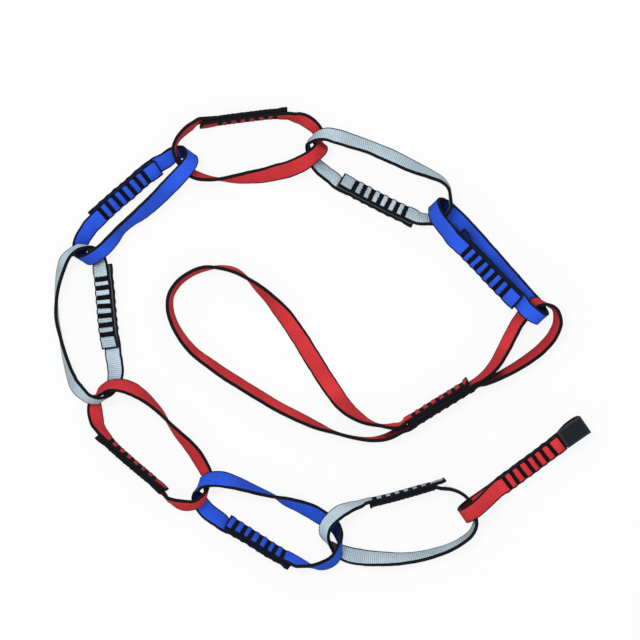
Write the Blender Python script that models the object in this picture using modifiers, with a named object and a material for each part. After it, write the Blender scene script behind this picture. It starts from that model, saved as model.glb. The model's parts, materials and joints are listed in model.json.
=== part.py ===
"""Climbing daisy chain: ten sewn webbing slings, each one linked through the next, laid out on a flat surface.

Every sling is one strip of webbing whose ends overlap in a lap, and seven bar tacks go through the lap.
A sling lies in its own frame: its eye, where the sling before it passes through, is the origin, +X runs along
the sling to the next eye, +Y is across it and +Z is up. The girth sling carries the chain, and each sling turns
about the upright axis of its eye. Everything is in metres.
"""
import bmesh
import bpy
import math
from bisect import bisect_right
from mathutils import Matrix, Vector

# Webbing
WEBBING_WIDTH = 0.0130
WEBBING_THICK = 0.0026
SELVEDGE_THICK_SHARE = 0.62

# Lap and bar tacks
LAYER_GAP = 0.0003
TACK_GAP = 0.0003
TACK_COUNT = 7
TACK_PITCH = 0.0069
TACK_LENGTH = 0.0100
TACK_WIDTH = 0.0028
TACK_HEIGHT = 0.0005
TACK_CORE_LENGTH = 0.0080
TACK_CORE_WIDTH = 0.0010
TACK_SINK = 0.0002

# End label, a folded tape round the eye's upper strand
LABEL_LENGTH = 0.0208
LABEL_THICK = 0.0006
LABEL_GAP = 0.0003
LABEL_SLEEVE_LENGTH = 0.0070
LABEL_START_SHARE = 0.803
LABEL_ROW = 6

# Faceting of the strips
LAYER_EASE = 0.0080
FLAT_SHARE = 0.05
STATION_STEP = 0.0130
STATION_TURN = math.radians(28)
FINE_STEPS = 24

# Sling lengths from eye to eye, and the way each one points
GIRTH_LENGTH = 0.2757
SLING_LENGTHS = [0.0999, 0.1067, 0.1006, 0.0977, 0.1063, 0.1014, 0.1042, 0.1020, 0.1074]
GIRTH_HEADING = 180.0
SLING_HEADINGS = [133.8, 154.9, -175.3, -135.0, -83.2, -44.7, -20.9, 14.3, 34.6]

# Colours of the woven webbing and the thread
COLOURS = {
    "red": (0.62, 0.030, 0.028, 1.0),
    "blue": (0.012, 0.075, 0.62, 1.0),
    "grey": (0.36, 0.42, 0.47, 1.0),
    "thread": (0.010, 0.010, 0.013, 1.0),
    "label": (0.014, 0.016, 0.020, 1.0),
}
WEBBING_ROUGHNESS = 0.78
THREAD_ROUGHNESS = 0.60

# Routes. A row is where the middle of the webbing is and how it leans:
# along as a share of the sling's length, across as a share of the webbing's width,
# the level part of the width direction, along and across, as shares of one width,
# and the lift of the lower edge over the ground as a share of the webbing's width.
# "lap" is the overlap, and "round" the rest of the strip, from the lap's end back to its start.
SLING_1_SHARES = {
    "lap": [
        (0.12, 0.81, 0, -0.95, 1.10), (0.30, 0.86, 0, -0.97, 0.95), (0.46, 0.85, 0, -0.95, 0.85),
        (0.62, 0.85, 0, -0.92, 0.85), (0.79, 0.90, 0, -0.90, 0.95),
    ],
    "round": [
        (0.92, 0.90, 0, -0.90, 1.10), (1.00, 0.80, 0, -0.88, 1.12), (1.055, 0.58, 0, -0.80, 0.95),
        (1.075, 0.38, 0, -0.75, 0.55), (1.055, 0.18, 0, -0.80, 0.18), (1.00, 0.06, 0, -0.90, 0.0),
        (0.90, 0.00, 0, -0.93, 0.0), (0.70, 0.02, 0, -0.93, 0.0), (0.50, 0.08, 0, -0.93, 0.0),
        (0.30, 0.15, 0, -0.93, 0.0), (0.10, 0.20, 0, -0.93, 0.0), (0.00, 0.22, 0, -0.93, 0.0),
        (-0.06, 0.32, 0, -0.88, 0.13), (-0.088, 0.46, 0, -0.82, 0.62), (-0.068, 0.62, 0, -0.85, 1.12),
        (0.00, 0.76, 0, -0.93, 1.30),
    ],
}
SLING_2_SHARES = {
    "lap": [
        (0.16, 1.33, 0, 0.78, 0.0), (0.30, 1.34, 0, 0.78, 0.0), (0.45, 1.30, 0, 0.78, 0.0),
        (0.60, 1.24, 0, 0.80, 0.0), (0.74, 1.22, 0, 0.78, 0.0),
    ],
    "round": [
        (0.84, 1.20, 0, 0.75, 0.0), (0.92, 1.02, 0, 0.75, 0.0), (1.00, 0.70, 0, 0.55, 0.05),
        (1.04, 0.35, 0, 0.20, 0.30), (1.05, 0.00, 0, 0.0, 0.63), (1.03, -0.35, -0.2, 0.40, 0.93),
        (0.97, -0.75, -0.1, 0.70, 0.95), (0.90, -0.93, 0, 0.80, 0.72), (0.80, -1.06, 0, 0.80, 0.45),
        (0.70, -1.17, 0, 0.73, 0.20), (0.50, -1.26, 0, 0.78, 0.05), (0.30, -1.25, 0, 0.64, 0.08),
        (0.20, -1.27, 0, 0.45, 0.18), (0.10, -1.20, 0, 0.25, 0.38), (0.04, -0.95, 0, 0.10, 0.59),
        (0.00, -0.50, 0, 0.0, 0.72), (-0.03, 0.00, 0, 0.0, 0.66), (-0.02, 0.50, 0, 0.30, 0.40),
        (0.03, 0.95, -0.2, 0.50, 0.06), (0.09, 1.15, 0, 0.65, 0.0),
    ],
}
SLING_3_SHARES = {
    "lap": [
        (0.19, -1.93, 0, -0.30, 0.0), (0.30, -1.98, 0, -0.22, 0.0), (0.45, -1.95, 0, -0.20, 0.0),
        (0.60, -1.90, 0, -0.20, 0.0), (0.72, -1.85, 0, -0.20, 0.05), (0.83, -1.83, 0, -0.22, 0.20),
    ],
    "round": [
        (0.90, -1.66, 0.1, -0.22, 0.38), (0.96, -1.35, 0.12, -0.15, 0.60), (1.01, -0.95, 0.1, -0.05, 0.80),
        (1.037, -0.50, 0.1, 0.0, 0.87), (1.03, 0.00, 0.1, 0.0, 0.72), (1.00, 0.45, 0, 0.35, 0.30),
        (0.95, 0.88, 0, 0.55, 0.05), (0.90, 1.13, 0, 0.45, 0.0), (0.80, 1.38, 0, 0.20, 0.0),
        (0.72, 1.46, 0, 0.0, 0.0), (0.60, 1.50, 0, -0.39, 0.0), (0.50, 1.48, 0, -0.62, 0.02),
        (0.40, 1.44, 0, -0.76, 0.12), (0.30, 1.33, 0, -0.87, 0.35), (0.20, 1.20, 0, -0.89, 0.65),
        (0.10, 0.93, 0.1, -0.88, 0.95), (0.03, 0.62, 0.4, -0.70, 1.02), (-0.02, 0.30, 0.6, -0.30, 0.66),
        (-0.035, -0.10, 0.63, 0.0, 0.19), (-0.035, -0.50, -0.5, -0.2, 0.02), (-0.02, -0.85, -0.5, -0.25, 0.0),
        (0.03, -1.30, -0.5, -0.40, 0.0), (0.08, -1.57, -0.38, -0.46, 0.0), (0.13, -1.72, -0.2, -0.42, 0.0),
    ],
}
SLING_4_SHARES = {
    "lap": [
        (0.17, -0.55, 0, -0.98, 0.0), (0.30, -0.70, 0, -0.98, 0.0), (0.45, -0.77, 0, -0.98, 0.0),
        (0.60, -0.87, 0, -0.98, 0.0), (0.80, -0.92, 0, -0.97, 0.0),
    ],
    "round": [
        (0.90, -0.78, 0, -0.95, 0.0), (0.97, -0.66, 0, -0.92, 0.0), (1.03, -0.42, 0, -0.90, 0.0),
        (1.07, -0.12, 0, -0.90, 0.06), (1.09, 0.10, -0.1, -0.85, 0.38), (1.08, 0.32, -0.1, -0.80, 0.82),
        (1.04, 0.50, -0.1, -0.78, 1.08), (0.98, 0.62, 0, -0.75, 1.14), (0.90, 0.69, 0, -0.73, 1.05), (0.80, 0.65, 0, -0.63, 0.85),
        (0.70, 0.57, 0, -0.45, 0.68), (0.62, 0.60, 0, -0.48, 0.62), (0.50, 0.72, 0, -0.73, 0.65),
        (0.40, 0.77, 0, -0.81, 0.75), (0.30, 0.79, 0, -0.89, 0.90), (0.20, 0.78, 0, -0.94, 1.05),
        (0.10, 0.77, 0, -0.97, 1.18), (0.02, 0.73, 0.1, -0.93, 1.22), (-0.045, 0.58, 0.2, -0.80, 1.02),
        (-0.07, 0.30, 0.2, -0.70, 0.62), (-0.06, 0.00, 0, -0.72, 0.20), (-0.02, -0.25, 0, -0.80, 0.0),
        (0.03, -0.40, 0, -0.90, 0.0), (0.10, -0.47, 0, -0.96, 0.0),
    ],
}
SLING_5_SHARES = {
    "lap": [
        (0.115, 0.72, 0, 0.90, 0.0), (0.25, 0.72, 0, 0.93, 0.0), (0.40, 0.68, 0, 0.95, 0.0),
        (0.55, 0.65, 0, 0.95, 0.0), (0.70, 0.67, 0, 0.95, 0.0),
    ],
    "round": [
        (0.80, 0.78, 0, 0.95, 0.0), (0.90, 0.72, 0, 0.92, 0.0), (0.97, 0.50, 0, 0.75, 0.05),
        (1.035, 0.10, -0.1, 0.40, 0.45), (1.05, -0.35, -0.3, 0.15, 0.84), (1.03, -0.85, -0.4, 0.30, 0.97),
        (0.98, -1.25, -0.2, 0.55, 0.90), (0.92, -1.60, -0.05, 0.52, 0.60), (0.85, -1.79, 0, 0.40, 0.30),
        (0.75, -1.95, 0, 0.26, 0.08), (0.60, -2.10, 0, 0.08, 0.0), (0.45, -2.20, 0, 0.0, 0.0),
        (0.30, -2.06, 0, 0.10, 0.05), (0.20, -1.86, 0, 0.25, 0.20), (0.12, -1.62, 0.1, 0.38, 0.45),
        (0.05, -1.30, 0.25, 0.40, 0.70), (0.00, -0.85, 0.3, 0.20, 0.80), (-0.024, -0.40, 0.26, 0.10, 0.76),
        (-0.02, 0.06, 0.05, 0.35, 0.43), (0.02, 0.43, 0, 0.70, 0.09), (0.07, 0.62, 0, 0.85, 0.0),
    ],
}
SLING_6_SHARES = {
    "lap": [
        (0.19, -1.80, 0, -0.50, 0.0), (0.30, -1.85, 0, -0.35, 0.0), (0.45, -1.80, 0, -0.32, 0.0),
        (0.60, -1.71, 0, -0.32, 0.0), (0.72, -1.65, 0, -0.29, 0.05), (0.82, -1.66, 0, -0.26, 0.16),
    ],
    "round": [
        (0.88, -1.74, 0, 0.05, 0.42), (0.94, -1.60, -0.1, 0.35, 0.72), (1.00, -1.28, -0.27, 0.50, 0.94),
        (1.045, -0.88, -0.4, 0.30, 0.94), (1.06, -0.45, -0.4, 0.15, 0.80), (1.05, 0.00, -0.2, 0.30, 0.45),
        (1.00, 0.45, 0, 0.55, 0.08), (0.95, 0.80, 0, 0.68, 0.0), (0.90, 0.94, 0, 0.69, 0.0),
        (0.80, 1.14, 0, 0.69, 0.0), (0.70, 1.24, 0, 0.56, 0.0), (0.60, 1.27, 0, 0.39, 0.0),
        (0.50, 1.34, 0, 0.13, 0.0), (0.40, 1.45, 0, -0.14, 0.0), (0.30, 1.47, 0, -0.33, 0.10),
        (0.20, 1.41, 0, -0.52, 0.38), (0.12, 1.25, 0.1, -0.65, 0.72), (0.05, 0.95, 0.3, -0.65, 0.92),
        (0.00, 0.55, 0.38, -0.45, 0.75), (-0.022, 0.10, 0.36, -0.20, 0.35), (-0.027, -0.35, 0.2, -0.35, 0.03),
        (-0.01, -0.70, -0.3, -0.50, 0.0), (0.03, -1.05, -0.45, -0.65, 0.0), (0.09, -1.40, -0.38, -0.66, 0.0),
        (0.15, -1.65, -0.2, -0.62, 0.0),
    ],
}
SLING_7_SHARES = {
    "lap": [
        (0.255, -1.35, 0, -0.75, 0.0), (0.35, -1.45, 0, -0.66, 0.0), (0.50, -1.68, 0, -0.62, 0.0),
        (0.65, -1.92, 0, -0.60, 0.0), (0.79, -2.05, 0, -0.50, 0.12),
    ],
    "round": [
        (0.86, -1.97, 0, -0.28, 0.32), (0.91, -1.92, 0, 0.0, 0.50), (0.96, -1.78, -0.05, 0.30, 0.72),
        (1.01, -1.50, -0.25, 0.45, 0.90), (1.055, -1.05, -0.45, 0.35, 0.94), (1.07, -0.55, -0.45, 0.20, 0.82),
        (1.06, -0.05, -0.3, 0.25, 0.37), (1.03, 0.35, -0.1, 0.45, 0.07), (0.98, 0.68, 0, 0.75, 0.0),
        (0.90, 0.85, 0, 0.85, 0.0), (0.80, 1.00, 0, 0.85, 0.0), (0.70, 1.06, 0, 0.67, 0.0),
        (0.60, 1.04, 0, 0.46, 0.0), (0.50, 1.05, 0, 0.0, 0.0), (0.40, 1.03, 0, -0.26, 0.02),
        (0.30, 1.03, 0, -0.46, 0.20), (0.20, 1.02, 0, -0.68, 0.55), (0.10, 0.91, 0.05, -0.88, 0.87),
        (0.04, 0.72, 0.3, -0.80, 0.94), (-0.012, 0.35, 0.38, -0.45, 0.68), (-0.032, -0.10, 0.36, -0.20, 0.20),
        (-0.02, -0.45, 0, -0.50, 0.035), (0.03, -0.78, -0.2, -0.90, 0.0), (0.09, -1.08, -0.2, -0.95, 0.0),
        (0.16, -1.24, -0.1, -0.92, 0.0),
    ],
}
SLING_8_SHARES = {
    "lap": [
        (0.32, 1.48, 0, -0.15, 0.0), (0.45, 1.45, 0, -0.12, 0.0), (0.60, 1.47, 0, -0.12, 0.0),
        (0.75, 1.50, 0, -0.10, 0.04), (0.81, 1.50, 0, -0.05, 0.08),
    ],
    "tail": [(0.85, 1.58, 0, -0.05, 0.10), (0.895, 1.72, 0, -0.05, 0.10)],
    "round": [
        (0.86, 1.26, 0, 0.0, 0.14), (0.92, 1.08, 0, 0.0, 0.20), (0.98, 0.75, 0, 0.0, 0.25),
        (1.02, 0.35, 0, 0.0, 0.25), (1.045, -0.20, 0, 0.0, 0.25), (1.045, -0.75, 0, -0.05, 0.25),
        (1.025, -1.25, 0.1, -0.10, 0.24), (0.98, -1.65, 0.05, -0.20, 0.18), (0.90, -1.95, 0, -0.25, 0.10),
        (0.80, -2.15, 0, -0.30, 0.0), (0.70, -2.22, 0, -0.37, 0.0), (0.60, -2.22, 0, -0.43, 0.0),
        (0.50, -2.15, 0, -0.51, 0.0), (0.40, -2.00, 0, -0.63, 0.0), (0.30, -1.79, 0, -0.75, 0.0),
        (0.20, -1.54, 0, -0.85, 0.0), (0.10, -1.21, -0.1, -0.92, 0.0), (0.04, -0.90, -0.1, -0.90, 0.0),
        (-0.01, -0.50, 0, -0.60, 0.0), (-0.05, 0.00, 0.3, -0.30, 0.20), (-0.05, 0.45, 0.45, -0.35, 0.61),
        (-0.02, 0.90, 0.45, -0.50, 0.88), (0.04, 1.22, 0.3, -0.60, 0.82), (0.10, 1.42, 0.1, -0.60, 0.60),
        (0.17, 1.52, 0, -0.45, 0.28), (0.25, 1.53, 0, -0.27, 0.05),
    ],
}
SLING_9_SHARES = {
    "lap": [
        (0.79, -0.10, 0, 1.0, 0.29), (0.70, -0.14, 0, 1.0, 0.29), (0.50, -0.20, 0, 1.0, 0.29),
        (0.29, -0.25, 0, 1.0, 0.29),
    ],
    "round": [
        (0.20, -0.28, 0, 0.99, 0.80), (0.10, -0.40, 0, 0.98, 1.24), (0.03, -0.45, 0, 0.97, 1.38),
        (-0.030, -0.44, 0, 0.97, 1.24), (-0.060, -0.38, 0, 0.97, 0.78), (-0.042, -0.30, 0, 0.98, 0.20),
        (0.02, -0.27, 0, 1.0, 0.0), (0.12, -0.27, 0, 1.0, 0.0), (0.22, -0.27, 0, 1.0, 0.0),
    ],
    "eye": [
        (0.85, 0.05, 0, 1.0, 0.0), (0.91, 0.13, 0, 1.0, 0.0), (0.95, 0.12, 0, 1.0, 0.07),
        (0.974, 0.06, 0, 1.0, 0.34), (0.957, -0.03, 0, 1.0, 0.62), (0.935, -0.05, 0, 1.0, 0.68),
        (0.90, -0.05, 0, 1.0, 0.68), (0.86, -0.05, 0, 1.0, 0.68), (0.825, -0.07, 0, 1.0, 0.53),
    ],
}
GIRTH_SHARES = {
    "lap": [
        (0.185, 4.62, -0.12, 0.27, 0.06), (0.25, 5.50, -0.12, 0.27, 0.0), (0.30, 6.16, -0.12, 0.27, 0.0),
        (0.355, 6.88, -0.12, 0.27, 0.0),
    ],
    "turned": [
        (0.39, 6.98, -0.05, 0.20, 0.0), (0.43, 6.93, 0.0, 0.0, 0.0), (0.46, 6.75, 0.08, 0.18, 0.0),
        (0.49, 6.40, 0.28, 0.42, 0.0), (0.52, 5.90, 0.54, 0.53, 0.0), (0.55, 5.10, 0.77, 0.55, 0.0),
        (0.58, 4.15, 0.83, 0.54, 0.0),
    ],
    "round": [
        (0.615, 2.95, -0.83, -0.55, 0.0), (0.65, 1.75, -0.79, -0.52, 0.0), (0.69, 0.55, -0.67, -0.52, 0.0),
        (0.725, -0.30, -0.40, -0.38, 0.0), (0.76, -1.00, -0.20, -0.22, 0.0), (0.785, -1.45, 0.0, 0.0, 0.0),
        (0.82, -1.90, 0.07, 0.19, 0.0), (0.86, -2.08, 0.0, 0.10, 0.0), (0.90, -2.03, 0.03, -0.15, 0.0),
        (0.94, -1.70, 0.10, -0.17, 0.0), (0.975, -1.10, 0.17, -0.14, 0.0), (0.993, -0.40, 0.21, -0.06, 0.0),
        (0.994, 0.30, 0.25, 0.03, 0.0), (0.983, 1.10, 0.26, 0.11, 0.0), (0.96, 1.95, 0.28, 0.20, 0.0),
        (0.93, 2.70, 0.27, 0.29, 0.0), (0.89, 3.35, 0.27, 0.36, 0.0), (0.85, 3.95, 0.28, 0.42, 0.0),
        (0.80, 4.62, 0.28, 0.42, 0.0), (0.75, 5.27, 0.26, 0.43, 0.0), (0.70, 5.90, 0.24, 0.41, 0.0),
        (0.65, 6.43, 0.20, 0.40, 0.0), (0.60, 6.93, 0.12, 0.28, 0.0), (0.55, 7.34, 0.0, 0.0, 0.0),
        (0.50, 7.62, 0.0, 0.0, 0.0), (0.45, 7.73, 0.0, 0.10, 0.0), (0.41, 7.58, -0.08, 0.24, 0.0),
        (0.38, 7.26, -0.15, 0.28, 0.0),
    ],
    "eye": [
        (0.15, 4.48, -0.10, 0.22, 0.08), (0.10, 4.02, -0.18, 0.30, 0.05), (0.045, 3.35, -0.25, 0.37, 0.0),
        (-0.005, 2.55, -0.34, 0.36, 0.0), (-0.038, 1.70, -0.39, 0.22, 0.10), (-0.049, 0.95, -0.35, 0.02, 0.26),
        (-0.042, 0.35, -0.12, -0.08, 0.48), (-0.02, 0.03, 0.0, 0.0, 0.69), (0.005, -0.05, -0.10, 0.39, 0.715),
        (0.03, 0.30, -0.50, 0.54, 0.36), (0.055, 0.95, -0.52, 0.36, 0.14), (0.075, 1.70, -0.57, 0.30, 0.04),
        (0.10, 2.75, -0.54, 0.30, 0.0), (0.125, 3.60, -0.40, 0.30, 0.02), (0.155, 4.22, -0.22, 0.27, 0.06),
    ],
}

# The slings in order: name, colour, route, share of the length where the first tack is,
# and which side of the lap's middle the strip starts on, in layers along the lap's outward side.
SLINGS = [
    ("girth_sling", "red", GIRTH_SHARES, 0.203, -1),
    ("sling_1", "blue", SLING_1_SHARES, 0.250, 0.5),
    ("sling_2", "grey", SLING_2_SHARES, 0.245, 0.5),
    ("sling_3", "red", SLING_3_SHARES, 0.280, -0.5),
    ("sling_4", "blue", SLING_4_SHARES, 0.294, 0.5),
    ("sling_5", "grey", SLING_5_SHARES, 0.208, 0.5),
    ("sling_6", "red", SLING_6_SHARES, 0.290, -0.5),
    ("sling_7", "blue", SLING_7_SHARES, 0.315, 0.5),
    ("sling_8", "grey", SLING_8_SHARES, 0.362, -0.5),
    ("end_sling", "red", SLING_9_SHARES, 0.320, 1),
]

# The slings whose tacks are one solid with the webbing, so that the pieces stay within 60
JOINED_TACKS = ("girth_sling", "sling_8", "end_sling")

# Worked-out sizes
HALF_WIDTH = WEBBING_WIDTH / 2
HALF_THICK = WEBBING_THICK / 2
LAYER_STEP = WEBBING_THICK + LAYER_GAP
SLOT_WIDTH = TACK_CORE_WIDTH + 2 * TACK_GAP
SLOT_LENGTH = TACK_CORE_LENGTH + 2 * TACK_GAP


def coloured(name, colour, roughness):
    """A plain material of one colour."""
    material = bpy.data.materials.new(name)
    material.use_nodes = True
    shader = material.node_tree.nodes["Principled BSDF"]
    shader.inputs["Base Color"].default_value = COLOURS[colour]
    shader.inputs["Roughness"].default_value = roughness
    shader.inputs["Metallic"].default_value = 0.0
    material.diffuse_color = COLOURS[colour]
    return material


def row_frame(row, length, turned):
    """A row's centre and width direction in the sling's own frame."""
    along, across, tip_along, tip_across, lift = row
    level = min(1.0, math.hypot(tip_along, tip_across))
    up = math.sqrt(1 - level * level)
    height = lift * WEBBING_WIDTH + HALF_WIDTH * up + HALF_THICK * level
    centre = Vector((along * length, across * WEBBING_WIDTH, height))
    width = Vector((tip_along, tip_across, up))
    return centre, -width if turned else width


def strip_rows(route, length, first_layer):
    """The strip from its first cut end to its last: centre, width direction and lap layer of each row.

    The layer is None outside the lap. A third pass, where the sling has an eye, lies between the other two.
    """
    lap = route["lap"]
    runs = [(lap, first_layer, "turned" in route)]
    runs.append((route.get("turned", []), None, True))
    runs.append((route["round"], None, False))
    if "eye" in route:
        runs.append((lap[::-1], -first_layer, False))
        runs.append((route["eye"], None, False))
        runs.append((lap, 0, False))
    else:
        runs.append((lap, -first_layer, False))
        runs.append((route.get("tail", []), "tail", False))
    rows = []
    for run, layer, turned in runs:
        rows += [row_frame(row, length, turned) + (layer,) for row in run]
    return rows


def row_slopes(points, steps, layers):
    """The slope at each row. At a lap's ends it comes from the lap's own rows, so that its layers run alike."""
    last = len(points) - 1
    chords = [(points[i + 1] - points[i]) / steps[i] for i in range(last)]

    def inner_slope(i):
        total = steps[i - 1] + steps[i]
        return (chords[i - 1] * steps[i] + chords[i] * steps[i - 1]) / total

    def opens(i, j):
        return not 0 <= j <= last or (isinstance(layers[i], (int, float)) and layers[j] != layers[i])

    slopes = []
    for i in range(last + 1):
        if opens(i, i - 1):
            slopes.append(chords[i] * 2 - inner_slope(i + 1))
        elif opens(i, i + 1):
            slopes.append(chords[i - 1] * 2 - inner_slope(i - 1))
        else:
            slopes.append(inner_slope(i))
    return slopes


def eased(share):
    """A smooth step from 0 to 1."""
    share = min(1.0, max(0.0, share))
    return share * share * (3 - 2 * share)


def fine_line(rows):
    """The strip's middle line in fine steps: places, width directions and distances, and the rows' distances."""
    points = [row[0] for row in rows]
    widths = [row[1] for row in rows]
    layers = [row[2] for row in rows]
    steps = [(points[i + 1] - points[i]).length for i in range(len(rows) - 1)]
    point_slopes = row_slopes(points, steps, layers)
    width_slopes = row_slopes(widths, steps, layers)
    places = [points[0]]
    leans = [widths[0]]
    row_marks = [0]
    for i, step in enumerate(steps):
        for k in range(1, FINE_STEPS + 1):
            t = k / FINE_STEPS
            near, near_slope = 2 * t**3 - 3 * t**2 + 1, (t**3 - 2 * t**2 + t) * step
            far, far_slope = 3 * t**2 - 2 * t**3, (t**3 - t**2) * step
            places.append(points[i] * near + point_slopes[i] * near_slope
                          + points[i + 1] * far + point_slopes[i + 1] * far_slope)
            leans.append(widths[i] * near + width_slopes[i] * near_slope
                         + widths[i + 1] * far + width_slopes[i + 1] * far_slope)
        row_marks.append(len(places) - 1)
    distances = [0.0]
    for a, b in zip(places, places[1:]):
        distances.append(distances[-1] + (b - a).length)
    return places, leans, distances, [distances[mark] for mark in row_marks]


def square_frames(places, leans):
    """The width direction and the face's normal at each place, square to the strip's run."""
    frames = []
    last = len(places) - 1
    for i, lean in enumerate(leans):
        run = (places[min(i + 1, last)] - places[max(i - 1, 0)]).normalized()
        width = (lean - run * lean.dot(run)).normalized()
        frames.append((width, run.cross(width)))
    return frames


def outward_sign(normal):
    """Whether a normal looks to the lap's outward side: to +Y, or up where the lap lies flat."""
    side = normal.z if abs(normal.y) < FLAT_SHARE else normal.y
    return 1 if side > 0 else -1


def lap_passes(rows, row_distances):
    """Each pass of the strip through the lap: its layer and the distances where it starts and ends."""
    passes = []
    for (_, _, layer), distance in zip(rows, row_distances):
        if isinstance(layer, (int, float)):
            if passes and passes[-1][0] == layer:
                passes[-1][2] = distance
            else:
                passes.append([layer, distance, distance])
    return passes


def layer_offsets(distances, frames, passes):
    """How far the strip is moved along its normal, to its layer in a lap, eased to nothing beside the lap."""
    levels = []
    for layer, start, end in passes:
        middle = bisect_right(distances, (start + end) / 2)
        levels.append(layer * LAYER_STEP * outward_sign(frames[middle][1]))
    offsets = []
    for distance in distances:
        offset = 0.0
        for (_, start, end), level in zip(passes, levels):
            offset += level * (1 - eased(max(start - distance, distance - end) / LAYER_EASE))
        offsets.append(offset)
    return offsets


def laid_down(places, frames, offsets, passes, distances):
    """The middle line raised where the strip, or a lap's tacks, would reach below the ground."""
    deepest = max(abs(layer) for layer, _, _ in passes) * LAYER_STEP
    raised = []
    for place, (width, normal), offset, distance in zip(places, frames, offsets, distances):
        inside = max(min(distance - start, end - distance) for _, start, end in passes)
        tacked = eased(inside / LAYER_EASE) * (TACK_GAP + TACK_HEIGHT)
        below = (deepest if inside >= 0 else abs(offset)) + tacked + HALF_THICK
        low = place.z - HALF_WIDTH * abs(width.z) - below * abs(normal.z)
        raised.append(place + Vector((0, 0, max(0.0, -low))))
    return raised


def tack_distances(route, first_share, length, distances, places, passes):
    """Where the tacks sit, as distances from the start of the lap's first pass."""
    _, start, end = passes[0]
    first = bisect_right(distances, start) - 1
    last = bisect_right(distances, end) - 1
    forward = route["lap"][-1][0] > route["lap"][0][0]
    nearest = min(range(first, last + 1), key=lambda i: abs(places[i].x - first_share * length))
    direction = 1 if forward else -1
    return [distances[nearest] - start + direction * k * TACK_PITCH for k in range(TACK_COUNT)]


def slot_spans(passes, tacks):
    """Start and end of each slot along the strip. A sling with an eye runs back through its second pass."""
    spans = []
    for number, (_, start, end) in enumerate(passes):
        backward = len(passes) > 2 and number == 1
        for tack in tacks:
            middle = end - tack if backward else start + tack
            spans.append((middle - SLOT_WIDTH / 2, middle + SLOT_WIDTH / 2))
    return sorted(spans)


def station_distances(spans, passes, distances, frames, places):
    """Where the strip's cross-sections go: at its ends and slots, or at its lap's ends where it has no slots,
    and between them by length and turning. So the layers of a lap are faceted alike.
    """
    turned = [0.0]
    for i in range(1, len(places)):
        share = (distances[i] - distances[i - 1]) / STATION_STEP
        share += frames[i][1].angle(frames[i - 1][1]) / STATION_TURN
        turned.append(turned[-1] + share)
    marks = spans or [(start, end) for _, start, end in passes]
    fixed = sorted({0.0, distances[-1]}.union(*marks))
    stations = [fixed[0]]
    for a, b in zip(fixed, fixed[1:]):
        load_a, load_b = value_at(a, distances, turned), value_at(b, distances, turned)
        parts = 1 if (a, b) in spans else max(1, math.ceil(load_b - load_a))
        for k in range(1, parts):
            load = load_a + (load_b - load_a) * k / parts
            stations.append(value_at(load, turned, distances))
        stations.append(b)
    return stations


def value_at(position, positions, values):
    """A value read between two entries of a rising list."""
    i = min(max(bisect_right(positions, position), 1), len(positions) - 1)
    share = (position - positions[i - 1]) / (positions[i] - positions[i - 1])
    return values[i - 1] + (values[i] - values[i - 1]) * share


class Strip:
    """A sling's strip of webbing: its middle line, its lap and its tacks, in the sling's own frame."""

    def __init__(self, route, length, first_share, first_layer, joined):
        rows = strip_rows(route, length, first_layer)
        self.places, leans, self.distances, row_distances = fine_line(rows)
        self.frames = square_frames(self.places, leans)
        self.passes = lap_passes(rows, row_distances)
        self.offsets = layer_offsets(self.distances, self.frames, self.passes)
        self.places = laid_down(self.places, self.frames, self.offsets, self.passes, self.distances)
        self.frames = square_frames(self.places, leans)
        self.tacks = tack_distances(route, first_share, length, self.distances, self.places, self.passes)
        self.joined = joined
        self.spans = [] if joined else slot_spans(self.passes, self.tacks)
        self.stations = station_distances(self.spans, self.passes, self.distances, self.frames, self.places)
        self.layers = 3 if "eye" in route else 2

    def frame_at(self, distance):
        """The middle line's place, width direction and normal."""
        place = value_at(distance, self.distances, self.places)
        width = value_at(distance, self.distances, [frame[0] for frame in self.frames]).normalized()
        normal = value_at(distance, self.distances, [frame[1] for frame in self.frames]).normalized()
        return place, width, normal

    def section_at(self, distance):
        """The four points across the strip's middle surface."""
        place, width, normal = self.frame_at(distance)
        middle = place + normal * value_at(distance, self.distances, self.offsets)
        return [middle + width * reach for reach in (-HALF_WIDTH, -SLOT_LENGTH / 2, SLOT_LENGTH / 2, HALF_WIDTH)]


def webbing_mesh(name, strip):
    """The strip's middle surface with its slots open, one row of four points at each station."""
    bm = bmesh.new()
    thick = bm.verts.layers.deform.verify()
    rings = []
    for distance in strip.stations:
        ring = [bm.verts.new(point) for point in strip.section_at(distance)]
        for vert, full in zip(ring, (0.0, 1.0, 1.0, 0.0)):
            vert[thick][0] = full
        rings.append(ring)
    for a, b, ring, following in zip(strip.stations, strip.stations[1:], rings, rings[1:]):
        slotted = (a, b) in strip.spans
        for k in (0, 2) if slotted else (0, 1, 2):
            bm.faces.new((ring[k], ring[k + 1], following[k + 1], following[k]))
    mesh = bpy.data.meshes.new(name)
    bm.to_mesh(mesh)
    bm.free()
    return mesh


def make_webbing(name, strip, material, collection):
    """One sling: its surface given the webbing's thickness, thinner at the selvedges."""
    sling = bpy.data.objects.new(name, webbing_mesh(name, strip))
    collection.objects.link(sling)
    sling.vertex_groups.new(name="body")
    sling.data.materials.append(material)
    wall = sling.modifiers.new("webbing thickness", "SOLIDIFY")
    wall.thickness = WEBBING_THICK
    wall.offset = 0.0
    wall.use_even_offset = False
    wall.vertex_group = "body"
    wall.thickness_vertex_group = SELVEDGE_THICK_SHARE
    return sling


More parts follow.
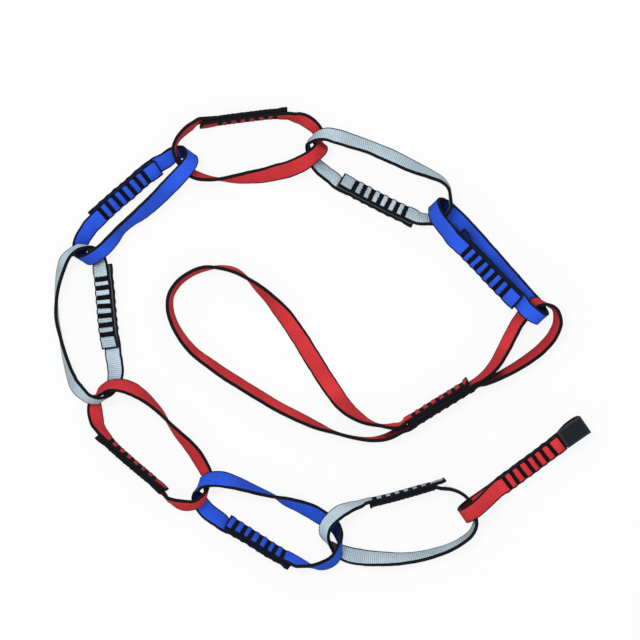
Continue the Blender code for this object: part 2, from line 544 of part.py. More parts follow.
def tack_mesh(core_half):
    """One bar tack: a core through the layers, spread into a flat bar of thread on each face."""
    bm = bmesh.new()
    bmesh.ops.create_cube(bm, size=2.0)
    bmesh.ops.scale(bm, verts=bm.verts, vec=(TACK_CORE_WIDTH / 2, TACK_CORE_LENGTH / 2, core_half))
    bm.normal_update()
    spread = (TACK_WIDTH / TACK_CORE_WIDTH, TACK_LENGTH / TACK_CORE_LENGTH, 1)
    for side in (1, -1):
        face = next(f for f in bm.faces if f.normal.z * side > 0.5)
        rim = bmesh.ops.extrude_face_region(bm, geom=[face])["geom"]
        bmesh.ops.delete(bm, geom=[face], context="FACES")
        bmesh.ops.scale(bm, verts=[v for v in rim if isinstance(v, bmesh.types.BMVert)], vec=spread)
        face = next(f for f in rim if isinstance(f, bmesh.types.BMFace))
        bar = bmesh.ops.extrude_face_region(bm, geom=[face])["geom"]
        bmesh.ops.delete(bm, geom=[face], context="FACES")
        rise = (0, 0, side * TACK_HEIGHT)
        bmesh.ops.translate(bm, verts=[v for v in bar if isinstance(v, bmesh.types.BMVert)], vec=rise)
    mesh = bpy.data.meshes.new("bar tack")
    bmesh.ops.recalc_face_normals(bm, faces=bm.faces)
    bm.to_mesh(mesh)
    bm.free()
    return mesh


def make_tacks(name, strip, material, collection):
    """A lap's bar tacks. A separate one stands off the webbing a little, and a joined one sinks into it."""
    stack_half = (strip.layers * WEBBING_THICK + (strip.layers - 1) * LAYER_GAP) / 2
    mesh = tack_mesh(stack_half - TACK_SINK if strip.joined else stack_half + TACK_GAP)
    mesh.materials.append(material)
    tacks = []
    for number, tack in enumerate(strip.tacks, 1):
        place, width, normal = strip.frame_at(strip.passes[0][1] + tack)
        turn = Matrix((width.cross(normal), width, normal)).transposed().to_4x4()
        piece = bpy.data.objects.new(f"{name}_tack_{number}", mesh)
        piece.matrix_local = Matrix.Translation(place) @ turn
        collection.objects.link(piece)
        tacks.append(piece)
    return tacks


def box(name, low, high, collection):
    """A box between two corners, as a mesh in the sling's own frame."""
    mesh = bpy.data.meshes.new(name)
    bm = bmesh.new()
    bmesh.ops.create_cube(bm, size=1.0)
    bmesh.ops.scale(bm, verts=bm.verts, vec=[b - a for a, b in zip(low, high)])
    bmesh.ops.translate(bm, verts=bm.verts, vec=[(a + b) / 2 for a, b in zip(low, high)])
    bm.to_mesh(mesh)
    bm.free()
    solid = bpy.data.objects.new(name, mesh)
    collection.objects.link(solid)
    return solid


def with_boolean(solid, other, operation):
    """A union with another solid, or a cut by it."""
    change = solid.modifiers.new(other.name, "BOOLEAN")
    change.operation = operation
    change.object = other
    other.hide_render = True
    other.display_type = "WIRE"


def make_label(strip, length, material, parts, guides):
    """The end label: a flat tab on top of the eye, held by its sleeve round the eye's upper strand."""
    along, across, _, _, lift = SLING_9_SHARES["eye"][LABEL_ROW]
    middle_x, middle_y = along * length, across * WEBBING_WIDTH
    middle_z = lift * WEBBING_WIDTH + HALF_THICK
    hole_y, hole_z = HALF_WIDTH + LABEL_GAP, HALF_THICK + LABEL_GAP
    outer_y, outer_z = hole_y + LABEL_THICK, hole_z + LABEL_THICK
    near_x, far_x = middle_x - LABEL_SLEEVE_LENGTH / 2, middle_x + LABEL_SLEEVE_LENGTH / 2
    sleeve = box("end_label", (near_x, middle_y - outer_y, middle_z - outer_z),
                 (far_x, middle_y + outer_y, middle_z + outer_z), parts)
    tab_near = LABEL_START_SHARE * length
    tab = box("label tab", (tab_near, middle_y - outer_y, middle_z + hole_z),
              (tab_near + LABEL_LENGTH, middle_y + outer_y, middle_z + outer_z), guides)
    hole = box("label hole", (near_x - LABEL_THICK, middle_y - hole_y, middle_z - hole_z),
               (far_x + LABEL_THICK, middle_y + hole_y, middle_z + hole_z), guides)
    with_boolean(sleeve, tab, "UNION")
    with_boolean(sleeve, hole, "DIFFERENCE")
    sleeve.data.materials.append(material)
    return sleeve, tab, hole


def world_corners(objects):
    """The lowest and highest corners of evaluated objects, in world space."""
    graph = bpy.context.evaluated_depsgraph_get()
    points = []
    for thing in objects:
        shown = thing.evaluated_get(graph)
        mesh = shown.to_mesh()
        points += [thing.matrix_world @ vert.co for vert in mesh.vertices]
        shown.to_mesh_clear()
    return [(min(p[k] for p in points), max(p[k] for p in points)) for k in range(3)]


def main():
    for thing in list(bpy.data.objects):
        bpy.data.objects.remove(thing, do_unlink=True)
    parts = bpy.data.collections.new("climbing_daisy_chain")
    guides = bpy.data.collections.new("guides")
    bpy.context.scene.collection.children.link(parts)
    bpy.context.scene.collection.children.link(guides)
    webbing = {name: coloured(name + " webbing", name, WEBBING_ROUGHNESS) for name in ("red", "blue", "grey")}
    thread = coloured("black thread", "thread", THREAD_ROUGHNESS)
    tape = coloured("black tape", "label", THREAD_ROUGHNESS)

    lengths = [GIRTH_LENGTH] + SLING_LENGTHS
    headings = [math.radians(angle) for angle in [GIRTH_HEADING] + SLING_HEADINGS]
    eye = Vector((0, 0, 0))
    eyes = []
    for number, (name, colour, route, first_share, first_layer) in enumerate(SLINGS):
        length = lengths[number]
        joined = name in JOINED_TACKS
        strip = Strip(route, length, first_share, first_layer, joined)
        pivot = bpy.data.objects.new(name + " eye", None)
        parts.objects.link(pivot)
        pivot.empty_display_size = WEBBING_WIDTH
        pivot.location = eye
        pivot.rotation_euler = (0, 0, headings[number])
        sling = make_webbing(name, strip, webbing[colour], parts)
        tacks = make_tacks(name, strip, thread, guides if joined else parts)
        if joined:
            for tack in tacks:
                with_boolean(sling, tack, "UNION")
        pieces = [sling] + tacks
        if name == "end_sling":
            pieces += make_label(strip, length, tape, parts, guides)
        for piece in pieces:
            piece.parent = pivot
        eyes.append(pivot)
        if number > 0:
            eye = eye + Vector((math.cos(headings[number]), math.sin(headings[number]), 0)) * length

    bpy.context.view_layer.update()
    solids = [thing for thing in parts.objects if thing.type == "MESH"]
    (x0, x1), (y0, y1), (z0, _) = world_corners(solids)
    for pivot in eyes:
        pivot.location -= Vector(((x0 + x1) / 2, (y0 + y1) / 2, z0))
    bpy.context.view_layer.update()


main()
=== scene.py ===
"""The climbing daisy chain as it looks: woven webbing, stitched bar tacks and a bare label, laid out on
white.

Each sling is one strip of webbing that follows its route in the sling's own frame: the eye, where the
sling before it passes through, is the origin, +X runs to the next eye, +Y is across and +Z is up.
Everything is in metres.
"""
import bmesh
import bpy
import json
import math
import random
from bisect import bisect_right
from mathutils import Matrix, Vector
from mathutils.bvhtree import BVHTree


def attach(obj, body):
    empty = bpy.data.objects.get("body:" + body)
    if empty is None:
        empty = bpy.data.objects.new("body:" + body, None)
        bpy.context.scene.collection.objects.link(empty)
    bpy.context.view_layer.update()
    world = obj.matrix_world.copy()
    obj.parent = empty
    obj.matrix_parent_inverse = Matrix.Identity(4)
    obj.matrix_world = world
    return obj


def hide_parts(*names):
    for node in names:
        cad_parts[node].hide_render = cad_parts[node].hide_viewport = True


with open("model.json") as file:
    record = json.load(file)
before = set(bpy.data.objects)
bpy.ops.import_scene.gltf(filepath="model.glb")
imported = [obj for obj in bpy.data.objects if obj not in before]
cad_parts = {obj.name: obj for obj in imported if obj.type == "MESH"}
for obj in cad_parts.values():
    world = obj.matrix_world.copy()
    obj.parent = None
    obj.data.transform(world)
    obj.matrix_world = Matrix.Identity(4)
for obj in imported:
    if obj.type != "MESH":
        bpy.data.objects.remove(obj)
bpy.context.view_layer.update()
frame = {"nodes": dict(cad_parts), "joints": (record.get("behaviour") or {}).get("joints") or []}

# Webbing, with its ribs across it cut into the mesh in steps
WEBBING_WIDTH = 0.0130
WEBBING_THICK = 0.0026
HALF_WIDTH = WEBBING_WIDTH / 2
HALF_THICK = WEBBING_THICK / 2
SELVEDGE_WIDTH = 0.00120
RIB_PITCH = 0.00150
RIB_STEPS = 4
RIB_DEPTH_SHARE = 0.07
RIB_STAGGER_SHARE = 0.10
WARP_PITCH = 0.00066

# Lap: how far its layers lie apart and slip sideways, and how the cut ends curl and skew
LAYER_GAP = 0.0003
LAYER_STEP = WEBBING_THICK + LAYER_GAP
LAYER_EASE = 0.0080
LAYER_SLIP = 0.0018
LAYER_SLIPS = {"end_sling": 0.0007}
FLAT_SHARE = 0.05
STEEP_SHARE = 0.10
END_CURL = 0.0006
END_RISE = 1.5
END_SKEWS = {"sling_1": 0.0026, "sling_5": 0.0010, "sling_7": 0.0010}

# Bar tacks: the bars, how they pull the webbing together, and their stitches
TACK_GAP = 0.0003
TACK_HEIGHT = 0.0005
TACK_COUNT = 7
TACK_PITCH = 0.0069
TACK_LENGTH = 0.0104
TACK_WIDTH = 0.0037
TACK_WIDTHS = {"sling_5": 0.0044, "sling_2": 0.0040, "end_sling": 0.0034}
TACK_PULL_SHARE = 0.16
TACK_PINCH_SHARE = 0.045
TACK_PULL_REACH = 0.0022
TACK_PULL_POWER = 4
TACK_RISE = 0.00012
TACK_SLIP_SHARE = 0.7
TACK_STRAY = 0.00030
TACK_TURN = math.radians(3.0)
THREAD_THICK = 0.00075
THREAD_BLUNT_SHARE = 0.55
STITCH_PITCH = 0.00048
STITCH_FILL_SHARE = 0.62
STITCH_TILT = math.radians(8)
STITCH_STRAY = 0.00042
STITCH_SEED = 11
STITCH_SEGMENTS = 8
STITCH_RINGS = 5
BED_WIDTH_SHARE = 0.80
BED_THICK_SHARE = 0.55

# End label
LABEL_LENGTH = 0.0208
LABEL_THICK = 0.0006
LABEL_GAP = 0.0003
LABEL_SLEEVE_LENGTH = 0.0070
LABEL_START_SHARE = 0.798
LABEL_ROW = 6
LABEL_CORNER = 0.0002
LABEL_BOW = 0.00025
LABEL_OVERLAP = 0.00006
LABEL_HALF_WIDTH = HALF_WIDTH + LABEL_GAP + LABEL_THICK
LABEL_STEPS = (16, 10)
CORNER_STEPS = 4
ROUNDING_SHARES = (0.0, 0.2, 0.6, 1.0)
RIM_SHARE = 0.25
HEM_INSET = 0.0011
HEM_THREAD = 0.00030
HEM_STITCH = 0.0016

# Steps along a strip's middle line, between two rows of its route
FINE_STEPS = 24

# How the strip's edges wander: waves as shares of half the width, and their lengths
EDGE_WAVES = [(0.010, 0.0205), (0.009, 0.0117), (0.006, 0.0061)]

# The strip is straight, narrower and thinner near an eye, so that slings clear each other as they swing
EYE_NEAR = 0.0120
EYE_FAR = 0.0200
EYE_NARROW_SHARE = 0.030
EYE_THIN_SHARE = 0.090

# Painted shade in the folds: rays as their rise and how many go round, and how far they look
FOLD_RINGS = [(math.radians(25), 8), (math.radians(50), 6), (math.radians(75), 4)]
FOLD_LIFT = 0.0003
FOLD_REACH = 0.0150

# The strip's outline from the middle to the selvedge: across and thickness, as shares of their halves
OUTLINE_SHARES = [
    (0.0, 1.0), (0.40, 1.0), (0.72, 0.98), (0.77, 0.92), (0.81, 0.97), (0.86, 1.05),
    (0.92, 1.04), (0.965, 0.86), (0.99, 0.50),
]

# Sling lengths from eye to eye, and the way each one points, in degrees
GIRTH_LENGTH = 0.2757
SLING_LENGTHS = [0.0999, 0.1067, 0.1006, 0.0977, 0.1063, 0.1014, 0.1042, 0.1020, 0.1074]
GIRTH_HEADING = 180.0
SLING_HEADINGS = [133.8, 154.9, -175.3, -135.0, -83.2, -44.7, -20.9, 14.3, 34.6]

# Routes. A row is where the middle of the webbing is and how it leans: along as a share of the sling's
# length, across as a share of the webbing's width, then as shares of one width how far across the width
# direction reaches, the lift of the lower edge over the ground, and how far along the width direction
# reaches. Zeros at a row's end are left out.
# "lap" is the overlap, and "round" the rest of the strip, from the lap's end back to its start.
SLING_1_SHARES = {
    "lap": [
        (0.12, 0.81, -0.95, 1.1), (0.3, 0.86, -0.97, 0.95), (0.46, 0.85, -0.95, 0.85),
        (0.62, 0.85, -0.92, 0.85), (0.79, 0.9, -0.9, 0.95)],
    "round": [
        (0.92, 0.9, -0.9, 1.1), (1, 0.8, -0.88, 1.12), (1.055, 0.58, -0.8, 0.95),
        (1.075, 0.38, -0.75, 0.55), (1.055, 0.18, -0.8, 0.18), (1, 0.06, -0.9), (0.9, 0, -0.93),
        (0.7, 0.02, -0.93), (0.5, 0.08, -0.93), (0.3, 0.15, -0.93), (0.1, 0.2, -0.93), (0, 0.22, -0.93),
        (-0.06, 0.32, -0.88, 0.13), (-0.088, 0.46, -0.82, 0.62), (-0.068, 0.62, -0.85, 1.12),
        (0, 0.76, -0.93, 1.3)],
}
SLING_2_SHARES = {
    "lap": [
        (0.16, 1.38, 0.78), (0.3, 1.4, 0.78), (0.45, 1.37, 0.78), (0.6, 1.31, 0.8), (0.74, 1.28, 0.78)],
    "round": [
        (0.84, 1.2, 0.75), (0.92, 1.02, 0.75), (1, 0.7, 0.55, 0.05), (1.04, 0.35, 0.2, 0.3),
        (1.05, 0, 0, 0.63), (1.03, -0.35, 0.4, 0.93, -0.2), (0.97, -0.75, 0.7, 0.95, -0.1),
        (0.9, -0.93, 0.8, 0.72), (0.8, -1.06, 0.8, 0.45), (0.7, -1.17, 0.73, 0.2),
        (0.5, -1.26, 0.78, 0.05), (0.3, -1.25, 0.64, 0.08), (0.2, -1.27, 0.45, 0.18),
        (0.1, -1.2, 0.25, 0.38), (0.04, -0.95, 0.1, 0.59), (0, -0.5, 0, 0.72), (-0.03, 0, 0, 0.66),
        (-0.02, 0.5, 0.3, 0.4), (0.03, 0.95, 0.5, 0.06, -0.2), (0.09, 1.15, 0.65)],
}
SLING_3_SHARES = {
    "lap": [
        (0.19, -1.94, -0.25), (0.3, -1.99, -0.17), (0.45, -1.96, -0.15), (0.6, -1.91, -0.15),
        (0.72, -1.86, -0.15, 0.05), (0.83, -1.84, -0.18, 0.2)],
    "round": [
        (0.9, -1.66, -0.22, 0.38, 0.1), (0.96, -1.35, -0.15, 0.6, 0.12), (1.01, -0.95, -0.05, 0.8, 0.1),
        (1.037, -0.5, 0, 0.87, 0.1), (1.03, 0, 0, 0.72, 0.1), (1, 0.45, 0.35, 0.3),
        (0.95, 0.88, 0.55, 0.05), (0.9, 1.13, 0.45), (0.8, 1.38, 0.2), (0.72, 1.46), (0.6, 1.5, -0.39),
        (0.5, 1.48, -0.62, 0.02), (0.4, 1.44, -0.76, 0.12), (0.3, 1.33, -0.87, 0.35),
        (0.2, 1.2, -0.89, 0.65), (0.1, 0.93, -0.88, 0.95, 0.1), (0.03, 0.62, -0.7, 1.02, 0.4),
        (-0.02, 0.3, -0.3, 0.66, 0.6), (-0.035, -0.1, 0, 0.19, 0.63), (-0.035, -0.5, -0.2, 0.02, -0.5),
        (-0.02, -0.85, -0.25, 0, -0.5), (0.03, -1.3, -0.4, 0, -0.5), (0.08, -1.57, -0.46, 0, -0.38),
        (0.13, -1.72, -0.42, 0, -0.2)],
}
SLING_4_SHARES = {
    "lap": [
        (0.17, -0.55, -0.98), (0.3, -0.7, -0.98), (0.45, -0.77, -0.98), (0.6, -0.87, -0.98),
        (0.8, -0.92, -0.97)],
    "round": [
        (0.9, -0.78, -0.95), (0.97, -0.66, -0.92), (1.03, -0.42, -0.9, 0, 0.03),
        (1.067, -0.12, -0.89, 0.06, 0.1), (1.08, 0.1, -0.84, 0.38, 0.17),
        (1.068, 0.32, -0.79, 0.82, 0.15), (1.035, 0.5, -0.78, 1.08, 0.04), (0.98, 0.62, -0.75, 1.14),
        (0.9, 0.69, -0.73, 1.05), (0.8, 0.65, -0.63, 0.85), (0.7, 0.57, -0.45, 0.68),
        (0.62, 0.6, -0.48, 0.62), (0.5, 0.72, -0.73, 0.65), (0.4, 0.77, -0.81, 0.75),
        (0.3, 0.79, -0.89, 0.9), (0.2, 0.78, -0.94, 1.05), (0.1, 0.77, -0.97, 1.18),
        (0.02, 0.73, -0.93, 1.22, 0.1), (-0.045, 0.58, -0.8, 1.02, 0.2), (-0.07, 0.3, -0.7, 0.62, 0.2),
        (-0.06, 0, -0.72, 0.2), (-0.02, -0.25, -0.8), (0.03, -0.4, -0.9), (0.1, -0.47, -0.96)],
}
SLING_5_SHARES = {
    "lap": [
        (0.115, 0.72, 0.9), (0.25, 0.72, 0.93), (0.4, 0.68, 0.95), (0.55, 0.65, 0.95), (0.7, 0.67, 0.95)],
    "round": [
        (0.8, 0.78, 0.95), (0.9, 0.72, 0.92), (0.97, 0.5, 0.75, 0.05), (1.035, 0.1, 0.4, 0.45, -0.1),
        (1.05, -0.35, 0.15, 0.84, -0.3), (1.03, -0.85, 0.3, 0.97, -0.4), (0.98, -1.25, 0.55, 0.9, -0.2),
        (0.92, -1.6, 0.52, 0.6, -0.05), (0.85, -1.79, 0.4, 0.3), (0.75, -1.95, 0.26, 0.08),
        (0.6, -2.1, 0.08), (0.45, -2.2), (0.3, -2.06, 0.1, 0.05), (0.2, -1.86, 0.25, 0.2),
        (0.12, -1.62, 0.38, 0.45, 0.1), (0.05, -1.3, 0.4, 0.7, 0.25), (0, -0.85, 0.2, 0.8, 0.3),
        (-0.024, -0.4, 0.1, 0.76, 0.26), (-0.02, 0.06, 0.35, 0.43, 0.05), (0.02, 0.43, 0.7, 0.09),
        (0.07, 0.62, 0.85)],
}
SLING_6_SHARES = {
    "lap": [
        (0.19, -1.79, -0.42), (0.3, -1.84, -0.24), (0.45, -1.8, -0.18), (0.6, -1.71, -0.17),
        (0.72, -1.64, -0.15, 0.05), (0.82, -1.64, -0.13, 0.16)],
    "round": [
        (0.88, -1.74, 0.05, 0.42), (0.94, -1.6, 0.35, 0.72, -0.1), (1, -1.28, 0.5, 0.94, -0.27),
        (1.045, -0.88, 0.3, 0.94, -0.4), (1.06, -0.45, 0.15, 0.8, -0.4), (1.05, 0, 0.3, 0.45, -0.2),
        (1, 0.45, 0.55, 0.08), (0.95, 0.8, 0.68), (0.9, 0.94, 0.69), (0.8, 1.14, 0.69), (0.7, 1.24, 0.56),
        (0.6, 1.27, 0.39), (0.5, 1.34, 0.13), (0.4, 1.45, -0.14), (0.3, 1.47, -0.33, 0.1),
        (0.2, 1.41, -0.52, 0.38), (0.12, 1.25, -0.65, 0.72, 0.1), (0.05, 0.95, -0.65, 0.92, 0.3),
        (0, 0.55, -0.45, 0.75, 0.38), (-0.022, 0.1, -0.2, 0.35, 0.36), (-0.027, -0.35, -0.35, 0.03, 0.2),
        (-0.01, -0.7, -0.5, 0, -0.3), (0.03, -1.05, -0.65, 0, -0.45), (0.09, -1.4, -0.66, 0, -0.38),
        (0.15, -1.68, -0.53, 0, -0.17)],
}
SLING_7_SHARES = {
    "lap": [
        (0.255, -1.35, -0.75), (0.35, -1.45, -0.66), (0.5, -1.68, -0.62), (0.65, -1.92, -0.6),
        (0.79, -2.05, -0.5, 0.12)],
    "round": [
        (0.86, -1.97, -0.28, 0.32), (0.91, -1.92, 0, 0.5), (0.96, -1.78, 0.3, 0.72, -0.05),
        (1.01, -1.5, 0.45, 0.9, -0.25), (1.055, -1.05, 0.35, 0.94, -0.45),
        (1.07, -0.55, 0.2, 0.82, -0.45), (1.063, -0.05, 0.28, 0.37, -0.05),
        (1.03, 0.35, 0.45, 0.07, 0.22), (0.98, 0.68, 0.75, 0, 0.08), (0.9, 0.85, 0.85), (0.8, 1, 0.85),
        (0.7, 1.06, 0.67), (0.6, 1.04, 0.46), (0.5, 1.05), (0.4, 1.03, -0.26, 0.02),
        (0.3, 1.03, -0.46, 0.2), (0.2, 1.02, -0.68, 0.55), (0.1, 0.91, -0.88, 0.87, 0.05),
        (0.04, 0.72, -0.8, 0.94, 0.3), (-0.014, 0.33, -0.42, 0.68, 0.26),
        (-0.025, -0.06, -0.06, 0.2, -0.06), (-0.031, -0.4, -0.46, 0.035, -0.08),
        (0.03, -0.78, -0.9, 0, -0.2), (0.09, -1.08, -0.95, 0, -0.2), (0.16, -1.24, -0.92, 0, -0.1)],
}
SLING_8_SHARES = {
    "lap": [
        (0.32, 1.48, -0.15), (0.45, 1.45, -0.12), (0.6, 1.47, -0.12), (0.75, 1.5, -0.1, 0.04),
        (0.81, 1.5, -0.05, 0.08)],
    "tail": [
        (0.85, 1.58, -0.05, 0.1), (0.895, 1.72, -0.05, 0.1)],
    "round": [
        (0.86, 1.26, 0, 0.14), (0.92, 1.08, 0, 0.2), (0.98, 0.75, 0, 0.25), (1.02, 0.35, 0, 0.25),
        (1.045, -0.2, 0, 0.25), (1.045, -0.75, -0.05, 0.25), (1.025, -1.25, -0.1, 0.24, 0.1),
        (0.98, -1.65, -0.2, 0.18, 0.05), (0.9, -1.95, -0.25, 0.1), (0.8, -2.15, -0.3),
        (0.7, -2.22, -0.37), (0.6, -2.22, -0.43), (0.5, -2.15, -0.51), (0.4, -2, -0.63),
        (0.3, -1.79, -0.75), (0.2, -1.54, -0.85), (0.1, -1.21, -0.92, 0, -0.1),
        (0.04, -0.9, -0.9, 0, -0.1), (-0.01, -0.5, -0.6), (-0.05, 0, -0.3, 0.2, 0.3),
        (-0.05, 0.45, -0.35, 0.61, 0.45), (-0.02, 0.9, -0.5, 0.88, 0.45), (0.04, 1.22, -0.6, 0.82, 0.3),
        (0.1, 1.42, -0.6, 0.6, 0.1), (0.17, 1.52, -0.45, 0.28), (0.25, 1.53, -0.27, 0.05)],
}
SLING_9_SHARES = {
    "lap": [
        (0.79, -0.1, 1, 0.29), (0.7, -0.14, 1, 0.29), (0.5, -0.2, 1, 0.29), (0.29, -0.25, 1, 0.29)],
    "round": [
        (0.2, -0.28, 0.99, 0.8), (0.1, -0.4, 0.98, 1.24), (0.03, -0.45, 0.97, 1.38),
        (-0.03, -0.44, 0.97, 1.24), (-0.06, -0.38, 0.97, 0.78), (-0.042, -0.3, 0.98, 0.2),
        (0.02, -0.27, 1), (0.12, -0.27, 1), (0.22, -0.27, 1)],
    "eye": [
        (0.85, 0.05, 1), (0.91, 0.13, 1), (0.95, 0.12, 1, 0.07), (0.974, 0.06, 1, 0.34),
        (0.957, -0.03, 1, 0.62), (0.935, -0.05, 1, 0.68), (0.9, -0.05, 1, 0.68), (0.86, -0.05, 1, 0.68),
        (0.825, -0.07, 1, 0.53)],
}
GIRTH_SHARES = {
    "lap": [
        (0.185, 4.61, 0.21, 0.06, -0.09), (0.25, 5.46, 0.2, 0, -0.09), (0.3, 6.11, 0.2, 0, -0.09),
        (0.355, 6.85, 0.2, 0, -0.09)],
    "turned": [
        (0.39, 6.98, 0.2, 0, -0.05), (0.43, 6.93), (0.46, 6.75, 0.18, 0, 0.08),
        (0.49, 6.4, 0.42, 0, 0.28), (0.52, 5.9, 0.53, 0, 0.54), (0.55, 5.1, 0.55, 0, 0.77),
        (0.58, 4.15, 0.54, 0, 0.83)],
    "round": [
        (0.615, 2.95, -0.55, 0, -0.83), (0.65, 1.75, -0.52, 0, -0.79), (0.69, 0.55, -0.52, 0, -0.67),
        (0.725, -0.3, -0.38, 0, -0.4), (0.76, -1, -0.22, 0, -0.2), (0.785, -1.45),
        (0.82, -1.9, 0.19, 0, 0.07), (0.86, -2.08, 0.1), (0.9, -2.03, -0.15, 0, 0.03),
        (0.94, -1.7, -0.17, 0, 0.1), (0.975, -1.1, -0.14, 0, 0.17), (0.993, -0.4, -0.06, 0, 0.21),
        (0.994, 0.3, 0.03, 0, 0.25), (0.983, 1.1, 0.11, 0, 0.26), (0.96, 1.95, 0.2, 0, 0.28),
        (0.93, 2.7, 0.29, 0, 0.27), (0.89, 3.35, 0.36, 0, 0.27), (0.85, 3.95, 0.42, 0, 0.28),
        (0.8, 4.62, 0.42, 0, 0.28), (0.75, 5.27, 0.43, 0, 0.26), (0.7, 5.9, 0.41, 0, 0.24),
        (0.65, 6.43, 0.4, 0, 0.2), (0.6, 6.93, 0.28, 0, 0.12), (0.55, 7.34), (0.5, 7.62),
        (0.45, 7.73, 0.1), (0.41, 7.58, 0.24, 0, -0.08), (0.38, 7.26, 0.28, 0, -0.15)],
    "eye": [
        (0.15, 4.48, 0.22, 0.08, -0.1), (0.1, 4.02, 0.3, 0.05, -0.18), (0.045, 3.35, 0.37, 0, -0.25),
        (-0.005, 2.55, 0.36, 0, -0.34), (-0.038, 1.7, 0.22, 0.1, -0.39),
        (-0.049, 0.95, 0.02, 0.26, -0.35), (-0.042, 0.35, -0.08, 0.48, -0.12), (-0.02, 0.03, 0, 0.69),
        (0.005, -0.05, 0.39, 0.715, -0.1), (0.03, 0.3, 0.54, 0.36, -0.5),
        (0.055, 0.95, 0.36, 0.14, -0.52), (0.075, 1.7, 0.3, 0.04, -0.57), (0.1, 2.75, 0.3, 0, -0.54),
        (0.125, 3.6, 0.3, 0.02, -0.4), (0.155, 4.22, 0.27, 0.06, -0.22)],
}

# The slings in order: name, colour, route, share of the length where the first tack is,
# and which side of the lap's middle the strip starts on, in layers along the lap's outward side.
SLINGS = [
    ("girth_sling", "red", GIRTH_SHARES, 0.203, -1),
    ("sling_1", "blue", SLING_1_SHARES, 0.250, 0.5),
    ("sling_2", "grey", SLING_2_SHARES, 0.245, 0.5),
    ("sling_3", "red", SLING_3_SHARES, 0.280, -0.5),
    ("sling_4", "blue", SLING_4_SHARES, 0.294, 0.5),
    ("sling_5", "grey", SLING_5_SHARES, 0.208, 0.5),
    ("sling_6", "red", SLING_6_SHARES, 0.290, -0.5),
    ("sling_7", "blue", SLING_7_SHARES, 0.315, 0.5),
    ("sling_8", "grey", SLING_8_SHARES, 0.362, -0.5),
    ("end_sling", "red", SLING_9_SHARES, 0.320, 1),
]

# Colours as light, from 0 to 1
WEBBING_COLOURS = {
    "red": (0.71, 0.044, 0.053, 1.0),
    "blue": (0.030, 0.112, 0.80, 1.0),
    "grey": (0.55, 0.68, 0.77, 1.0),
}
SELVEDGE_COLOUR = (0.0042, 0.0045, 0.0062, 1.0)
THREAD_COLOUR = (0.0040, 0.0040, 0.0056, 1.0)
TAPE_COLOUR = (0.0042, 0.0066, 0.0095, 1.0)
# Colour of the hem thread, and of the painted highlight along the tape's edges
HEM_AND_HIGHLIGHT_COLOUR = (0.16, 0.17, 0.185, 1.0)
FLOOR_COLOUR = (0.9, 0.9, 0.9, 1.0)
FLOOR_SHADE = (0.35, 0.35, 0.35, 1.0)
SKY_COLOUR = (1.0, 1.0, 1.0, 1.0)

# The webbing's weave: noises per metre, shares of the relief and the shade, and the relief's depth
MOTTLE_SCALE = 210.0
CLOUD_SCALE = 26.0
FUZZ_SCALE = 2600.0
YARN_SHARE = 0.35
FUZZ_SHARE = 0.38
FUZZ_RELIEF = 0.35
WEAVE_STEP = (0.12, 0.85)
WEAVE_DEPTH = 0.00016
WEAVE_STRENGTH = 0.75
WEAVE_ROUGHNESS = 0.76
FUZZ_ROUGHNESS = 0.10
SELVEDGE_ROUGHNESS = -0.14

# The webbing's painted shade in the weave's valleys and painted highlight on its crests, as factors on
# its colour, and how mottles, stains, faded places and the painted shade in the folds lie on it: where
# they start and are full, as steps of a noise, then their share of the mix and their tint
VALLEY_SHADE, CREST_HIGHLIGHT = 0.48, 1.22
MOTTLES = ((0.35, 0.80), 0.20, 0.50)
STAINS = ((0.40, 0.70), 0.30, 0.46)
FADES = ((0.48, 0.68), 0.40, 1.25)
PAINTED_FOLD_SHADE = ((0.38, 0.68), 0.85, 0.06)

# The selvedge's painted shade and highlight, its inner line, and the melted cut ends, whose dark band
# also paints the shadow under each end
SELVEDGE_SHADE_AND_HIGHLIGHT = (0.5, 2.4)
SELVEDGE_WAVE = 0.00016
SELVEDGE_BLUR = 0.00010
MELT_AND_SHADOW_TINT = 1.5
MELT_AND_SHADOW_STRAY = 0.0005
MELT_AND_SHADOW_STEP = (0.0010, 0.0014)

# Thread
STRAND_SCALE = 1800.0
STRAND_STEP = (0.3, 0.8)
STRAND_DEPTH = 0.00008
STRAND_STRENGTH = 0.6
STRAND_TINTS = (0.6, 2.2)
THREAD_ROUGHNESS = (0.2, 0.5)

# The label's tape with painted shade and highlight on its twill, a painted highlight along its edges, and
# its stitched hem
GRAIN_SCALE = 3200.0
PATCH_SCALE = 180.0
TWILL_PITCH = 0.00042
TWILL_SHARE = 0.7
TWILL_SHADE_AND_GRAIN_TINTS = (0.7, 1.4)
PATCHES = ((0.4, 0.8), 0.5, 1.7)
EDGE_HIGHLIGHT_STRAY = 0.0003
EDGE_HIGHLIGHT_STEP = (0.00008, 0.00034)
EDGE_HIGHLIGHT_SHARE = 0.6
HEM_STEP = (0.5, 0.8)
HEM_GAP_STEP = (0.68, 0.78)
HEM_SHARE = 0.35
TAPE_ROUGHNESS = (0.15, 0.5)
TAPE_DEPTH = 0.00012
TAPE_RELIEF = {"twill": 0.5, "grain": 0.3, "hem": 1.2}
TAPE_STRENGTH = 0.6

# Floor and light
FLOOR_SIZE = 6.0
FLOOR_GLOW_SHARE = 0.85
SKY_SEEN = 1.0
SKY_STRENGTH = 0.66
LAMPS = [("key", (-0.35, 0.30, 1.30), 0.40, 5.0), ("top", (0, 0, 3.20), 2.40, 16.0)]

# The camera, straight above the photograph's middle
PIXEL = 0.000743
IMAGE_PIXELS = 640
FIRST_EYE_PIXEL = (539, 304)
LENS_MM = 200.0
SENSOR_MM = 36.0
CLIP_NEAR = 0.05
CLIP_FAR = 20.0


# Routes to strips

def row_frame(length, turned, along, across, tip_across=0, lift=0, tip_along=0):
    """A row's centre and width direction in the sling's own frame."""
    level = min(1.0, math.hypot(tip_along, tip_across))
    up = math.sqrt(1 - level * level)
    height = lift * WEBBING_WIDTH + HALF_WIDTH * up + HALF_THICK * level
    centre = Vector((along * length, across * WEBBING_WIDTH, height))
    width = Vector((tip_along, tip_across, up))
    return centre, -width if turned else width


